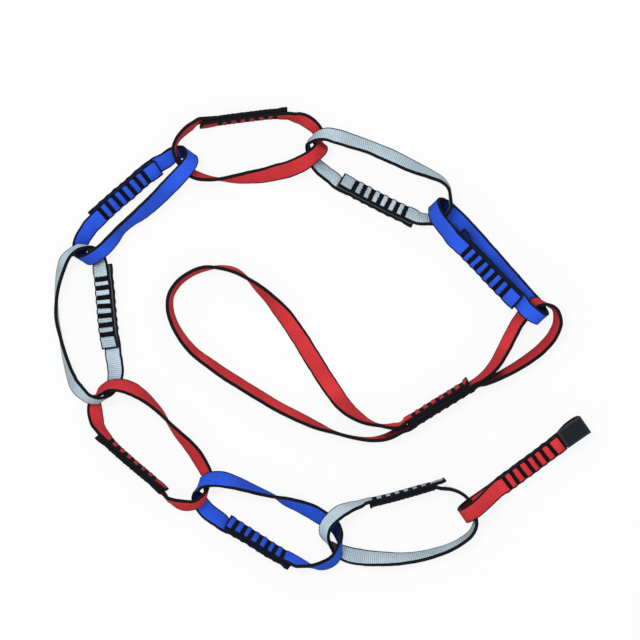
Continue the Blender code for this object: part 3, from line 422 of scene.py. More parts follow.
def strip_rows(route, length, first_layer):
    """The strip from cut end to cut end: the centre, width direction and lap layer of each row."""
    lap = route["lap"]
    runs = [(lap, first_layer, "turned" in route), (route.get("turned", []), None, True),
            (route["round"], None, False)]
    if "eye" in route:
        runs += [(lap[::-1], -first_layer, False), (route["eye"], None, False), (lap, 0, False)]
    else:
        runs += [(lap, -first_layer, False), (route.get("tail", []), "tail", False)]
    rows = []
    for run, layer, turned in runs:
        rows += [row_frame(length, turned, *row) + (layer,) for row in run]
    return rows


def row_slopes(points, steps, layers):
    """The slope at each row, at a lap's ends from the lap's own rows, so that its layers run alike."""
    last = len(points) - 1
    chords = [(points[i + 1] - points[i]) / steps[i] for i in range(last)]

    def inner_slope(i):
        total = steps[i - 1] + steps[i]
        return (chords[i - 1] * steps[i] + chords[i] * steps[i - 1]) / total

    def opens(i, j):
        if not 0 <= j <= last:
            return True
        return isinstance(layers[i], (int, float)) and layers[j] != layers[i]

    slopes = []
    for i in range(last + 1):
        if opens(i, i - 1):
            slopes.append(chords[i] * 2 - inner_slope(i + 1))
        elif opens(i, i + 1):
            slopes.append(chords[i - 1] * 2 - inner_slope(i - 1))
        else:
            slopes.append(inner_slope(i))
    return slopes


def eased(share):
    """A smooth step from 0 to 1."""
    share = min(1.0, max(0.0, share))
    return share * share * (3 - 2 * share)


def curve_through(points, slopes, steps):
    """A smooth curve through the points, in fine steps."""
    curve = [points[0]]
    for i, step in enumerate(steps):
        for k in range(1, FINE_STEPS + 1):
            t = k / FINE_STEPS
            near = 2 * t**3 - 3 * t**2 + 1
            near_slope = (t**3 - 2 * t**2 + t) * step
            far_slope = (t**3 - t**2) * step
            curve.append(points[i] * near + slopes[i] * near_slope
                         + points[i + 1] * (1 - near) + slopes[i + 1] * far_slope)
    return curve


def fine_line(rows):
    """The strip's middle line: its places, width directions and distances, and the rows' distances."""
    points, widths, layers = ([row[part] for row in rows] for part in range(3))
    steps = [(points[i + 1] - points[i]).length for i in range(len(rows) - 1)]
    places = curve_through(points, row_slopes(points, steps, layers), steps)
    leans = curve_through(widths, row_slopes(widths, steps, layers), steps)
    distances = [0.0]
    for a, b in zip(places, places[1:]):
        distances.append(distances[-1] + (b - a).length)
    return places, leans, distances, distances[::FINE_STEPS]


def square_frames(places, leans):
    """The width direction and the face's normal at each place, square to the strip's run."""
    frames = []
    last = len(places) - 1
    for i, lean in enumerate(leans):
        run = (places[min(i + 1, last)] - places[max(i - 1, 0)]).normalized()
        width = (lean - run * lean.dot(run)).normalized()
        frames.append((width, run.cross(width)))
    return frames


def outward_sign(normal):
    """1 where a normal looks to the lap's outward side, +Y or up where it lies flat, and else -1."""
    side = normal.z if abs(normal.y) < FLAT_SHARE else normal.y
    return 1 if side > 0 else -1


def lap_passes(rows, row_distances):
    """Each pass of the strip through the lap: its layer and the distances where it starts and ends."""
    passes = []
    for (_, _, layer), distance in zip(rows, row_distances):
        if isinstance(layer, (int, float)):
            if passes and passes[-1][0] == layer:
                passes[-1][2] = distance
            else:
                passes.append([layer, distance, distance])
    return passes


def layer_offsets(distances, frames, passes):
    """How far the strip is moved along its normal to its lap layer, eased to nothing beside the lap."""
    levels = []
    for layer, start, end in passes:
        middle = bisect_right(distances, (start + end) / 2)
        levels.append(layer * LAYER_STEP * outward_sign(frames[middle][1]))
    offsets = []
    for distance in distances:
        offset = 0.0
        for (_, start, end), level in zip(passes, levels):
            offset += level * (1 - eased(max(start - distance, distance - end) / LAYER_EASE))
        offsets.append(offset)
    return offsets


def laid_down(places, frames, offsets, passes, distances):
    """The middle line raised where the strip, or a lap's tacks, would reach below the ground."""
    deepest = max(abs(layer) for layer, _, _ in passes) * LAYER_STEP
    raised = []
    for place, (width, normal), offset, distance in zip(places, frames, offsets, distances):
        inside = max(min(distance - start, end - distance) for _, start, end in passes)
        tacked = eased(inside / LAYER_EASE) * (TACK_GAP + TACK_HEIGHT)
        below = (deepest if inside >= 0 else abs(offset)) + tacked + HALF_THICK
        low = place.z - HALF_WIDTH * abs(width.z) - below * abs(normal.z)
        raised.append(place + Vector((0, 0, max(0.0, -low))))
    return raised


def tack_distances(route, first_place, distances, places, passes):
    """Where the tacks sit, as distances from the start of the lap's first pass."""
    _, start, end = passes[0]
    first = bisect_right(distances, start) - 1
    last = bisect_right(distances, end) - 1
    nearest = min(range(first, last + 1), key=lambda i: abs(places[i].x - first_place))
    direction = 1 if route["lap"][-1][0] > route["lap"][0][0] else -1
    return [distances[nearest] - start + direction * k * TACK_PITCH for k in range(TACK_COUNT)]


def value_at(position, positions, values):
    """A value read between two entries of a rising list."""
    i = min(max(bisect_right(positions, position), 1), len(positions) - 1)
    share = (position - positions[i - 1]) / (positions[i] - positions[i - 1])
    return values[i - 1] + (values[i] - values[i - 1]) * share


class Strip:
    """A sling's strip of webbing: its middle line, its lap and its tacks, in the sling's own frame."""

    def __init__(self, name, route, length, first_share, first_layer):
        rows = strip_rows(route, length, first_layer)
        self.places, leans, self.distances, row_distances = fine_line(rows)
        frames = square_frames(self.places, leans)
        self.passes = lap_passes(rows, row_distances)
        self.offsets = layer_offsets(self.distances, frames, self.passes)
        self.places = laid_down(self.places, frames, self.offsets, self.passes, self.distances)
        frames = square_frames(self.places, leans)
        self.widths = [frame[0] for frame in frames]
        self.normals = [frame[1] for frame in frames]
        self.tacks = tack_distances(route, first_share * length, self.distances, self.places,
                                    self.passes)
        self.layers = 3 if "eye" in route else 2
        self.slip = LAYER_SLIPS.get(name, LAYER_SLIP)
        _, start, end = self.passes[0]
        _, width, _ = self.frame_at((start + end) / 2)
        side = width.y if abs(width.z) < STEEP_SHARE else width.z
        self.slip_side = width if side > 0 else -width
        self.pulls = []
        for number, (_, start, end) in enumerate(self.passes):
            backward = len(self.passes) > 2 and number == 1
            self.pulls += [end - tack if backward else start + tack for tack in self.tacks]

    def frame_at(self, distance):
        """The middle line's place, width direction and normal."""
        place = value_at(distance, self.distances, self.places)
        width = value_at(distance, self.distances, self.widths).normalized()
        normal = value_at(distance, self.distances, self.normals).normalized()
        return place, width, normal

    def slip_at(self, width, normal, offset):
        """The side a lap's layers slip to, and how far a layer at an offset slips."""
        side = width if width.dot(self.slip_side) > 0 else -width
        return side, self.slip * offset * normal.z / LAYER_STEP

    def pull_at(self, distance):
        """How hard a tack pulls the webbing together: 1 at a tack, and 0 away from it."""
        nearest = min(abs(distance - pull) for pull in self.pulls)
        return math.exp(-(nearest / TACK_PULL_REACH) ** TACK_PULL_POWER)


# Meshes

def link_object(name, data):
    """A new object in the scene."""
    piece = bpy.data.objects.new(name, data)
    bpy.context.scene.collection.objects.link(piece)
    return piece


def add_ring(bm, layer, ring):
    """A ring of points, from places and what each point keeps in a layer."""
    points = []
    for place, kept in ring:
        points.append(bm.verts.new(place))
        points[-1][layer] = kept
    return points


def bridge(bm, rings):
    """Faces between rings of points that follow each other."""
    for one, other in zip(rings, rings[1:]):
        for i in range(len(one)):
            bm.faces.new((one[i - 1], one[i], other[i], other[i - 1]))


def closed_piece(name, bm, material):
    """A piece from a closed shape, with its faces turned outwards."""
    bmesh.ops.recalc_face_normals(bm, faces=bm.faces)
    mesh = bpy.data.meshes.new(name)
    bm.to_mesh(mesh)
    bm.free()
    mesh.shade_smooth()
    mesh.materials.append(material)
    return link_object(name, mesh)


# Webbing

def outline_ring():
    """The strip's outline, all the way round: across and thickness in metres."""
    right = [(across * HALF_WIDTH, thick * HALF_THICK) for across, thick in OUTLINE_SHARES]
    left = [(-across, thick) for across, thick in right[:0:-1]]
    top = left + right
    bottom = [(across, -thick) for across, thick in top[::-1]]
    return [(-HALF_WIDTH, 0.0)] + top + [(HALF_WIDTH, 0.0)] + bottom


def wander(distance, side):
    """How far an edge strays from straight, as a share of half the width."""
    return sum(share * math.sin(math.tau * distance / wave + side * (number + 1))
               for number, (share, wave) in enumerate(EDGE_WAVES))


def strip_rings(name, strip, place, eyes):
    """Rings along a strip, of places and where in the weave each one is."""
    outline = outline_ring()
    length = strip.distances[-1]
    step = RIB_PITCH / RIB_STEPS
    rings = []
    for distance in [step * k for k in range(round(length / step))] + [length]:
        middle, width, normal = strip.frame_at(distance)
        pull = strip.pull_at(distance)
        thickness = 1 - TACK_PULL_SHARE * pull
        offset = value_at(distance, strip.distances, strip.offsets)
        slip_side, slip = strip.slip_at(width, normal, offset)
        middle += normal * offset * thickness
        middle -= slip_side * slip
        from_end = min(distance, length - distance)
        last_end = distance > length / 2
        free_end = (length - max(strip.pulls) if last_end else min(strip.pulls)) - TACK_WIDTH / 2
        near_end = eased((free_end - from_end) * END_RISE / free_end)
        middle += normal * (END_CURL * near_end * 2 * offset / LAYER_STEP)
        if last_end:
            middle += slip_side * (END_SKEWS.get(name, 0.0) * near_end)
        away = min((place @ middle - eye).xy.length for eye in eyes)
        tight = eased((EYE_FAR - away) / (EYE_FAR - EYE_NEAR))
        straight = 1 - TACK_PINCH_SHARE * pull - EYE_NARROW_SHARE * tight
        left, right = (straight + wander(distance, side) * (1 - tight) for side in (-1, 1))
        valley = (2 * (distance / RIB_PITCH % 1) - 1) ** 2
        thickness -= EYE_THIN_SHARE * tight + RIB_DEPTH_SHARE * valley
        rings.append([])
        for across, thick in outline:
            reach = across * (left if across < 0 else right)
            point = place @ (middle + width * reach + normal * (thick * thickness))
            rings[-1].append((point, (distance, across, from_end)))
    return rings


def make_webbing(name, strip, place, eyes, material):
    """One sling's strip, with its own run of the weave kept on its points."""
    bm = bmesh.new()
    weave = bm.verts.layers.float_vector.new("weave")
    rings = [add_ring(bm, weave, ring) for ring in strip_rings(name, strip, place, eyes)]
    bridge(bm, rings)
    bm.faces.new(rings[0])
    bm.faces.new(rings[-1][::-1])
    return closed_piece(name + "_webbing", bm, material)


def shade_folds(pieces):
    """How closed in each face of the webbing is, from 0 to 1, kept on its points for the painted shade
    there.
    """
    corners = []
    sides = []
    for piece in pieces:
        start = len(corners)
        corners += [point.co for point in piece.data.vertices]
        sides += [[start + corner for corner in face.vertices] for face in piece.data.polygons]
    walls = BVHTree.FromPolygons(corners, sides)
    count = len(outline_ring())
    half = count // 2
    for piece in pieces:
        if "weave" not in piece.data.attributes:
            continue
        points = piece.data.vertices
        closed = [0.0] * len(points)
        for start in range(0, len(points), half):
            if start // count % RIB_STEPS:
                closed[start:start + half] = closed[start - count:start - half]
            else:
                closed[start:start + half] = [closed_in(points[start + half // 2], walls)] * half
        piece.data.attributes.new("fold", "FLOAT", "POINT").data.foreach_set("value", closed)


def closed_in(point, walls):
    """The share of the view from a point that webbing close by takes up."""
    turn = point.normal.to_track_quat("Z", "Y").to_matrix()
    blocked = 0
    for rise, turns in FOLD_RINGS:
        for k in range(turns):
            around = math.tau * k / turns
            level = math.cos(rise)
            ray = Vector((math.cos(around) * level, math.sin(around) * level, math.sin(rise)))
            if walls.ray_cast(point.co + point.normal * FOLD_LIFT, turn @ ray, FOLD_REACH)[0]:
                blocked += 1
    return blocked / sum(turns for _, turns in FOLD_RINGS)


# Node trees

def operator(operation):
    """A method that adds one maths node."""
    return lambda *values: values[0].maths(operation, *values)


class Value:
    """An output in a node tree. Maths on numbers is written as maths."""

    def __init__(self, nodes, socket):
        self.nodes = nodes
        self.socket = socket

    def maths(self, operation, *values):
        return self.nodes.add("ShaderNodeMath", dict(enumerate(values)), {"operation": operation})

    __add__ = __radd__ = operator("ADD")
    __sub__ = operator("SUBTRACT")
    __mul__ = __rmul__ = operator("MULTIPLY")
    __truediv__ = operator("DIVIDE")
    __mod__ = operator("MODULO")
    __pow__ = operator("POWER")
    __abs__ = operator("ABSOLUTE")
    __floor__ = operator("FLOOR")
    __round__ = operator("ROUND")
    sign = operator("SIGN")
    least = operator("MINIMUM")

    def __rsub__(self, other):
        return self.maths("SUBTRACT", other, self)

    def wave(self):
        """From -1 to 1 over each whole number."""
        return self.maths("FRACT", self) * 2 - 1

    def bulge(self):
        """A rounded rise over each whole number: 0 at its ends and 1 in its middle."""
        wave = self.wave()
        return 1 - wave * wave

    def step(self, low, high):
        """0 below low and 1 above high, smooth between."""
        return self.nodes.add("ShaderNodeMapRange", {"Value": self, "From Min": low, "From Max": high},
                              {"interpolation_type": "SMOOTHSTEP"})


class Nodes:
    """A node tree that is built one node at a time."""

    def __init__(self, tree):
        self.tree = tree

    def add(self, kind, values=None, settings=None, output=0):
        """A node with its settings, and with values or links in its sockets. Gives one of its outputs."""
        node = self.tree.nodes.new(kind)
        for key, value in (settings or {}).items():
            setattr(node, key, value)
        for key, value in (values or {}).items():
            for part in value if isinstance(value, list) else [value]:
                if isinstance(part, Value):
                    self.tree.links.new(part.socket, node.inputs[key])
                else:
                    node.inputs[key].default_value = part
        return Value(self, node.outputs[output])

    def triple(self, x, y, z):
        """A vector of three numbers."""
        return self.add("ShaderNodeCombineXYZ", {0: x, 1: y, 2: z})

    def split(self, vector):
        """The three numbers of a vector."""
        node = self.add("ShaderNodeSeparateXYZ", {0: vector}).socket.node
        return [Value(self, socket) for socket in node.outputs]


# Bar tacks

def tack_tree(material):
    """Bars of zigzag stitches, one at each point, across the webbing on the side that faces outwards.

    Gives the tree, and the identifiers of the sizes that the modifier may set.
    """
    group = bpy.data.node_groups.new("bar tack stitches", "GeometryNodeTree")
    for way in ("INPUT", "OUTPUT"):
        group.interface.new_socket("Geometry", in_out=way, socket_type="NodeSocketGeometry")
    sizes = {"bar length": TACK_LENGTH, "bar width": TACK_WIDTH, "stitch pitch": STITCH_PITCH,
             "thread thickness": THREAD_THICK, "stitch tilt": STITCH_TILT, "stitch seed": STITCH_SEED}
    sockets = {}
    for name, value in sizes.items():
        socket = group.interface.new_socket(name, in_out="INPUT", socket_type="NodeSocketFloat")
        socket.default_value = value
        sockets[name] = socket.identifier
    nodes = Nodes(group)
    given = group.nodes.new("NodeGroupInput").outputs
    points, length, width, pitch, thick, tilt, seed = (Value(nodes, socket)
                                                       for socket in given[:len(sizes) + 1])

    ball = nodes.add("GeometryNodeMeshUVSphere",
                     {"Segments": STITCH_SEGMENTS, "Rings": STITCH_RINGS, "Radius": 1.0})
    x, y, z = nodes.split(nodes.add("GeometryNodeInputPosition"))
    blunt = nodes.triple(x.sign() * abs(x) ** THREAD_BLUNT_SHARE, y, z)
    ball = nodes.add("GeometryNodeSetPosition", {"Geometry": ball, "Position": blunt})
    shape = nodes.triple(width * 0.5, pitch * STITCH_FILL_SHARE, thick * 0.5)
    stitch = nodes.add("GeometryNodeTransform", {"Geometry": ball, "Scale": shape})
    row = nodes.add("GeometryNodeMeshLine",
                    {"Count": round(length / pitch) + 1,
                     "Start Location": nodes.triple(0.0, length * -0.5, 0.0),
                     "Offset": nodes.triple(0.0, pitch, 0.0)}, {"mode": "OFFSET"})
    stray = nodes.add("FunctionNodeRandomValue", {2: -STITCH_STRAY, 3: STITCH_STRAY, "Seed": seed},
                      {"data_type": "FLOAT"}, 1)
    row = nodes.add("GeometryNodeSetPosition",
                    {"Geometry": row, "Offset": nodes.triple(stray, 0.0, 0.0)})
    side = nodes.add("GeometryNodeInputIndex") % 2 * 2 - 1
    stitches = nodes.add("GeometryNodeInstanceOnPoints",
                         {"Points": row, "Instance": stitch,
                          "Rotation": nodes.triple(0.0, 0.0, side * tilt)})
    bed_size = nodes.triple(width * BED_WIDTH_SHARE, length, thick * BED_THICK_SHARE)
    bed = nodes.add("GeometryNodeMeshCube", {"Size": bed_size})
    bar = nodes.add("GeometryNodeJoinGeometry", {0: [stitches, bed]})

    outward, across = (nodes.add("GeometryNodeInputNamedAttribute", {"Name": name},
                                 {"data_type": "FLOAT_VECTOR"}) for name in ("outward", "across"))
    up = nodes.add("FunctionNodeAlignRotationToVector", {"Vector": outward}, {"axis": "Z"})
    lie = nodes.add("FunctionNodeAlignRotationToVector", {"Rotation": up, "Vector": across},
                    {"axis": "Y", "pivot_axis": "Z"})
    bars = nodes.add("GeometryNodeInstanceOnPoints", {"Points": points, "Instance": bar, "Rotation": lie})
    real = nodes.add("GeometryNodeRealizeInstances", {"Geometry": bars})
    done = nodes.add("GeometryNodeSetMaterial", {"Geometry": real, "Material": material})
    group.links.new(done.socket, group.nodes.new("NodeGroupOutput").inputs[0])
    return group, sockets


def make_tacks(name, strip, place, group, sockets, seed):
    """A lap's bar tacks, on both faces of its layers."""
    stack_half = (strip.layers * WEBBING_THICK + (strip.layers - 1) * LAYER_GAP) / 2
    turn = place.to_3x3()
    points = []
    outward = []
    across = []
    hand = random.Random(name)
    for tack in strip.tacks:
        middle, width, normal = strip.frame_at(strip.passes[0][1] + tack)
        middle += width * hand.uniform(-TACK_STRAY, TACK_STRAY)
        middle += normal.cross(width) * hand.uniform(-TACK_STRAY, TACK_STRAY)
        lie = Matrix.Rotation(hand.uniform(-TACK_TURN, TACK_TURN), 3, normal) @ width
        for side in (1, -1):
            outer_layer = side * (strip.layers - 1) / 2 * LAYER_STEP
            slip_side, slip = strip.slip_at(width, normal, outer_layer)
            rise = normal * side * (stack_half * (1 - TACK_PULL_SHARE) + TACK_RISE)
            points.append(place @ (middle - slip_side * slip * TACK_SLIP_SHARE + rise))
            outward.append(turn @ (normal * side))
            across.append(turn @ lie)
    mesh = bpy.data.meshes.new(name)
    mesh.from_pydata(points, [], [])
    for title, vectors in (("outward", outward), ("across", across)):
        kept = mesh.attributes.new(title, "FLOAT_VECTOR", "POINT")
        kept.data.foreach_set("vector", [number for vector in vectors for number in vector])
    guide = link_object(name + "_places", mesh)
    stitching = guide.modifiers.new("bar tack stitches", "NODES")
    stitching.node_group = group
    stitching[sockets["bar width"]] = TACK_WIDTHS.get(name, TACK_WIDTH)
    stitching[sockets["stitch seed"]] = float(seed)
    graph = bpy.context.evaluated_depsgraph_get()
    piece = link_object(name + "_stitches", bpy.data.meshes.new_from_object(guide.evaluated_get(graph)))
    bpy.data.objects.remove(guide)
    piece.data.shade_smooth()
    return piece


# End label

def rounded_rectangle(half_y, half_z, corner):
    """An outline in Y and Z with rounded corners."""
    points = []
    for quarter, (side_y, side_z) in enumerate(((1, 1), (-1, 1), (-1, -1), (1, -1))):
        for k in range(CORNER_STEPS + 1):
            angle = math.pi / 2 * (quarter + k / CORNER_STEPS)
            points.append((side_y * (half_y - corner) + corner * math.cos(angle),
                           side_z * (half_z - corner) + corner * math.sin(angle)))
    return points


def edge_places(half, edge, count):
    """Places from -half to half, close together at both ends so that the edges can be rounded."""
    near = [share * edge for share in ROUNDING_SHARES]
    inner = half - edge
    middle = [inner * (2 * k / count - 1) for k in range(1, count)]
    return [inset - half for inset in near] + middle + [half - inset for inset in near[::-1]]


def make_label(length, place, material):
    """The label: a tape sleeve round the eye's upper strand, and on it a flat tab with a stitched hem."""
    along, across, _, lift = SLING_9_SHARES["eye"][LABEL_ROW]
    middle = Vector((along * length, across * WEBBING_WIDTH, lift * WEBBING_WIDTH + HALF_THICK))
    hole_z = HALF_THICK + LABEL_GAP
    inner = HALF_WIDTH + LABEL_GAP, hole_z + LABEL_OVERLAP
    outer = LABEL_HALF_WIDTH, hole_z + LABEL_THICK - LABEL_OVERLAP
    reach = LABEL_SLEEVE_LENGTH / 2
    near = reach - LABEL_CORNER
    bm = bmesh.new()
    hem = bm.verts.layers.float_vector.new("hem")

    def placed(x, y, z):
        return place @ (middle + Vector((x, y, z)))

    sleeve = []
    for x, inset, (half_y, half_z) in (
            (-reach, LABEL_CORNER, outer), (-near, 0, outer), (near, 0, outer),
            (reach, LABEL_CORNER, outer), (reach, 0, inner), (-reach, 0, inner)):
        ring = rounded_rectangle(half_y - inset, half_z - inset, HALF_THICK / 2)
        sleeve.append(add_ring(bm, hem, [(placed(x, y, z), (x, y, 1.0)) for y, z in ring]))
    bridge(bm, sleeve + sleeve[:1])

    half_x, half_y, half_z = LABEL_LENGTH / 2, LABEL_HALF_WIDTH, LABEL_THICK / 2
    tab_x = LABEL_START_SHARE * length - middle.x + half_x
    ys = edge_places(half_y, half_z, LABEL_STEPS[1])
    tab = []
    for x in edge_places(half_x, half_z, LABEL_STEPS[0]):
        ring = []
        for side, line in ((1, ys), (-1, ys[::-1])):
            for y in line:
                inset = min(half_x - abs(x), half_y - abs(y))
                rise = half_z * math.sqrt(1 - (1 - min(1.0, inset / half_z)) ** 2)
                bow = LABEL_BOW * (x / half_x) ** 2
                level = hole_z + half_z + side * max(rise, half_z * RIM_SHARE) + bow
                ring.append((placed(tab_x + x, y, level), (x, y, 0.0)))
        tab.append(add_ring(bm, hem, ring))
    bridge(bm, tab)
    for ring in (tab[0], tab[-1]):
        for j in range(len(ys) - 1):
            bm.faces.new((ring[j], ring[j + 1], ring[-2 - j], ring[-1 - j]))
    return closed_piece("label", bm, material)


# Materials

class Surface(Nodes):
    """A material whose nodes are added one at a time."""

    def __init__(self, name, **fixed):
        self.material = bpy.data.materials.new(name)
        self.material.use_nodes = True
        super().__init__(self.material.node_tree)
        self.shader = self.tree.nodes["Principled BSDF"]
        for key, value in fixed.items():
            self.shader.inputs[key.replace("_", " ")].default_value = value

    def attribute(self, name, output="Vector"):
        """A piece's own attribute."""
        return self.add("ShaderNodeAttribute", None, {"attribute_name": name}, output)

    def noise(self, vector, scale, detail=2.0):
        return self.add("ShaderNodeTexNoise", {"Vector": vector, "Scale": scale, "Detail": detail})

    def mix(self, share, one, other):
        """A colour between two."""
        return self.add("ShaderNodeMix", {0: share, 6: one, 7: other}, {"data_type": "RGBA"}, 2)

    def mix_tints(self, share, colour, tints):
        """A colour between a colour's two tints."""
        return self.mix(share, tinted(colour, tints[0]), tinted(colour, tints[1]))

    def set(self, name, value):
        self.tree.links.new(value.socket, self.shader.inputs[name])

    def bump(self, height, depth, strength):
        self.set("Normal", self.add("ShaderNodeBump",
                                    {"Height": height, "Distance": depth, "Strength": strength}))


def tinted(colour, factor):
    """A colour made darker or brighter."""
    return tuple(min(1.0, number * factor) for number in colour[:3]) + (1.0,)


def webbing_material(name, colour):
    """Woven tape: floats of yarn in rows across it, and a black woven selvedge along each edge, with
    painted shade in the weave's valleys and in the folds and a painted highlight on its crests.
    """
    surface = Surface(name, Metallic=0.0, Sheen_Weight=0.02, Sheen_Roughness=0.5, Specular_IOR_Level=0.07)
    place = surface.attribute("weave")
    along, across, from_end = surface.split(place)
    column = across / WARP_PITCH
    rib = (along / RIB_PITCH + (math.floor(column) % 2) * RIB_STAGGER_SHARE).bulge()
    height = rib * (1 - YARN_SHARE) + rib * column.bulge() * YARN_SHARE
    mottle = surface.noise(place, MOTTLE_SCALE)
    cloud = surface.noise(place, CLOUD_SCALE, detail=1.0)
    fuzz = surface.noise(place, FUZZ_SCALE, detail=3.0)
    # Painted shade and highlight of the weave: valleys darker, crests lighter, mixed with random fuzz
    shade = (height * (1 - FUZZ_SHARE) + fuzz * FUZZ_SHARE).step(*WEAVE_STEP)
    body = surface.mix_tints(shade, colour, (VALLEY_SHADE, CREST_HIGHLIGHT))
    # Painted shade in the folds: near-black where webbing close by hides much of the view
    fold = surface.attribute("fold", "Fac")
    for where, (step, share, tint) in ((mottle, MOTTLES), (cloud, STAINS), (1 - cloud, FADES),
                                       (fold, PAINTED_FOLD_SHADE)):
        body = surface.mix(where.step(*step) * share, body, tinted(colour, tint))
    inner = HALF_WIDTH - SELVEDGE_WIDTH
    edge = (abs(across) + (rib - 0.5) * SELVEDGE_WAVE).step(inner - SELVEDGE_BLUR, inner + SELVEDGE_BLUR)
    # The black selvedge gets the same painted shade in the valleys and painted highlight on the crests
    tape = surface.mix(edge, body, surface.mix_tints(shade, SELVEDGE_COLOUR, SELVEDGE_SHADE_AND_HIGHLIGHT))
    # Near-black band at each cut end: partly the melted end, partly painted shadow under the layer's end
    whole = (from_end + (fuzz - 0.5) * MELT_AND_SHADOW_STRAY).step(*MELT_AND_SHADOW_STEP)
    surface.set("Base Color", surface.mix(whole, tinted(SELVEDGE_COLOUR, MELT_AND_SHADOW_TINT), tape))
    surface.set("Roughness", edge * SELVEDGE_ROUGHNESS + fuzz * FUZZ_ROUGHNESS + WEAVE_ROUGHNESS)
    surface.bump(height + fuzz * FUZZ_RELIEF, WEAVE_DEPTH, WEAVE_STRENGTH)
    return surface.material


def thread_material():
    """Black bonded thread: a slight gloss, with dusty tops."""
    surface = Surface("black thread", Metallic=0.0, Specular_IOR_Level=0.08)
    place = surface.add("ShaderNodeTexCoord", output="Object")
    strands = surface.noise(place, STRAND_SCALE, detail=3.0)
    surface.set("Base Color", surface.mix_tints(strands.step(*STRAND_STEP), THREAD_COLOUR, STRAND_TINTS))
    surface.set("Roughness", strands * THREAD_ROUGHNESS[0] + THREAD_ROUGHNESS[1])
    surface.bump(strands, STRAND_DEPTH, STRAND_STRENGTH)
    return surface.material


def tape_material():
    """The label's smooth black tape, finely woven and bare, with painted shade on its twill, a painted
    highlight along its edges and a stitched hem.
    """
    surface = Surface("black tape", Metallic=0.0, Specular_IOR_Level=0.18)
    place = surface.attribute("hem")
    along, across, sleeve = surface.split(place)
    inset = (LABEL_LENGTH / 2 - abs(along)).least(LABEL_HALF_WIDTH - abs(across)) + sleeve
    grain = surface.noise(place, GRAIN_SCALE)
    patch_step, patch_share, patch_tint = PATCHES
    patch = surface.noise(place, PATCH_SCALE).step(*patch_step) * patch_share
    ridge = ((along + across) / TWILL_PITCH).bulge()
    # Painted shade and highlight of the twill: ridges lighter, hollows darker, mixed with random grain
    colour = surface.mix_tints(ridge * TWILL_SHARE + grain * (1 - TWILL_SHARE), TAPE_COLOUR, TWILL_SHADE_AND_GRAIN_TINTS)
    colour = surface.mix(patch, colour, tinted(TAPE_COLOUR, patch_tint))
    # Painted highlight: a lighter rim along the tape's folded edges
    edge_highlight = 1 - (inset + (grain - 0.5) * EDGE_HIGHLIGHT_STRAY).step(*EDGE_HIGHLIGHT_STEP)
    colour = surface.mix(edge_highlight * EDGE_HIGHLIGHT_SHARE, colour, HEM_AND_HIGHLIGHT_COLOUR)
    line = 1 - (abs(inset - HEM_INSET) / HEM_THREAD).step(*HEM_STEP)
    thread = line * (1 - abs(((along + across) / HEM_STITCH).wave()).step(*HEM_GAP_STEP))
    surface.set("Base Color", surface.mix(thread * HEM_SHARE, colour, HEM_AND_HIGHLIGHT_COLOUR))
    surface.set("Roughness", grain * TAPE_ROUGHNESS[0] + TAPE_ROUGHNESS[1])
    surface.bump(ridge * TAPE_RELIEF["twill"] + grain * TAPE_RELIEF["grain"]
                 + thread * TAPE_RELIEF["hem"], TAPE_DEPTH, TAPE_STRENGTH)
    return surface.material


# The chain

def make_chain():
    """All the slings, each with its webbing and its tacks, and the end sling's label."""
    materials = {name: webbing_material(name + " webbing", colour)
                 for name, colour in WEBBING_COLOURS.items()}
    thread = thread_material()
    tape = tape_material()
    group, sockets = tack_tree(thread)
    eyes = [Vector((joint["pos_m"][0], joint["pos_m"][1], 0)) for joint in frame["joints"]]
    eyes = eyes[:1] + eyes
    lengths = [GIRTH_LENGTH] + SLING_LENGTHS
    headings = [math.radians(angle) for angle in [GIRTH_HEADING] + SLING_HEADINGS]
    pieces = []
    for number, (name, colour, route, first_share, first_layer) in enumerate(SLINGS):
        strip = Strip(name, route, lengths[number], first_share, first_layer)
        place = Matrix.Translation(eyes[number]) @ Matrix.Rotation(headings[number], 4, "Z")
        webbing = make_webbing(name, strip, place, eyes, materials[colour])
        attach(webbing, name)
        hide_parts(name)
        tacks = make_tacks(name, strip, place, group, sockets, STITCH_SEED + number)
        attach(tacks, name)
        own_tacks = [node for node in frame["nodes"] if node.startswith(name + "_tack_")]
        if own_tacks:
            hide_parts(*own_tacks)
        if name == "end_sling":
            label = make_label(lengths[number], place, tape)
            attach(label, name)
            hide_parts("end_label")
            pieces.append(label)
        pieces.append(webbing)
    shade_folds(pieces)


# Floor, light and camera

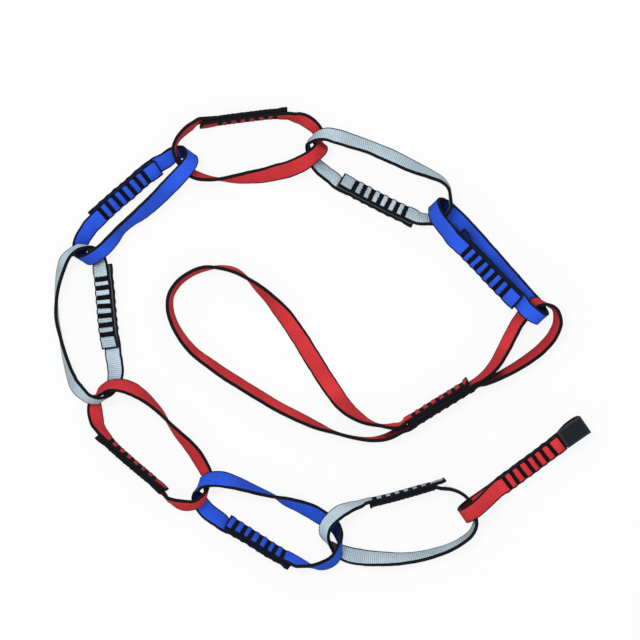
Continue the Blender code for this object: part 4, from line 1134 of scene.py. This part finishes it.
def make_floor():
    """A white floor that shows the chain's soft shadow."""
    bpy.ops.mesh.primitive_plane_add(size=FLOOR_SIZE, location=(0, 0, 0))
    floor = bpy.context.object
    floor.name = "floor"
    surface = Surface("white floor", Roughness=0.9)
    camera, glossy, clear = (surface.add("ShaderNodeLightPath", output="Is " + kind + " Ray")
                             for kind in ("Camera", "Glossy", "Transmission"))
    seen = camera + glossy + clear
    surface.set("Base Color", surface.mix(seen, FLOOR_SHADE, FLOOR_COLOUR))
    painted = Value(surface, surface.shader.outputs[0])
    glowing = surface.add("ShaderNodeEmission")
    mixed = surface.add("ShaderNodeMixShader", {0: seen * FLOOR_GLOW_SHARE, 1: painted, 2: glowing})
    surface.tree.links.new(mixed.socket, surface.tree.nodes["Material Output"].inputs["Surface"])
    floor.data.materials.append(surface.material)


def make_lights():
    """A white sky and two soft lamps."""
    world = bpy.data.worlds.new("studio")
    world.use_nodes = True
    nodes = Nodes(world.node_tree)
    light, seen = (nodes.add("ShaderNodeBackground", {"Color": SKY_COLOUR, "Strength": strength})
                   for strength in (SKY_STRENGTH, SKY_SEEN))
    camera = nodes.add("ShaderNodeLightPath", output="Is Camera Ray")
    mixed = nodes.add("ShaderNodeMixShader", {0: camera, 1: light, 2: seen})
    world.node_tree.links.new(mixed.socket, world.node_tree.nodes["World Output"].inputs["Surface"])
    bpy.context.scene.world = world
    for name, place, size, power in LAMPS:
        lamp = bpy.data.lights.new(name, "AREA")
        lamp.size = size
        lamp.energy = power
        light = link_object(name, lamp)
        light.location = place
        light.rotation_euler = (-Vector(place)).to_track_quat("-Z", "Y").to_euler()


def make_camera():
    """The photograph's camera, which looks straight down."""
    first_eye = frame["joints"][0]["pos_m"]
    half = IMAGE_PIXELS / 2
    x = first_eye[0] + (half - FIRST_EYE_PIXEL[0]) * PIXEL
    y = first_eye[1] - (half - FIRST_EYE_PIXEL[1]) * PIXEL
    lens = bpy.data.cameras.new("camera")
    lens.lens = LENS_MM
    lens.sensor_width = SENSOR_MM
    lens.clip_start = CLIP_NEAR
    lens.clip_end = CLIP_FAR
    camera = link_object("camera", lens)
    camera.location = (x, y, IMAGE_PIXELS * PIXEL * LENS_MM / SENSOR_MM)
    bpy.context.scene.camera = camera


make_chain()
make_floor()
make_lights()
make_camera()
bpy.context.scene.view_settings.view_transform = "Standard"
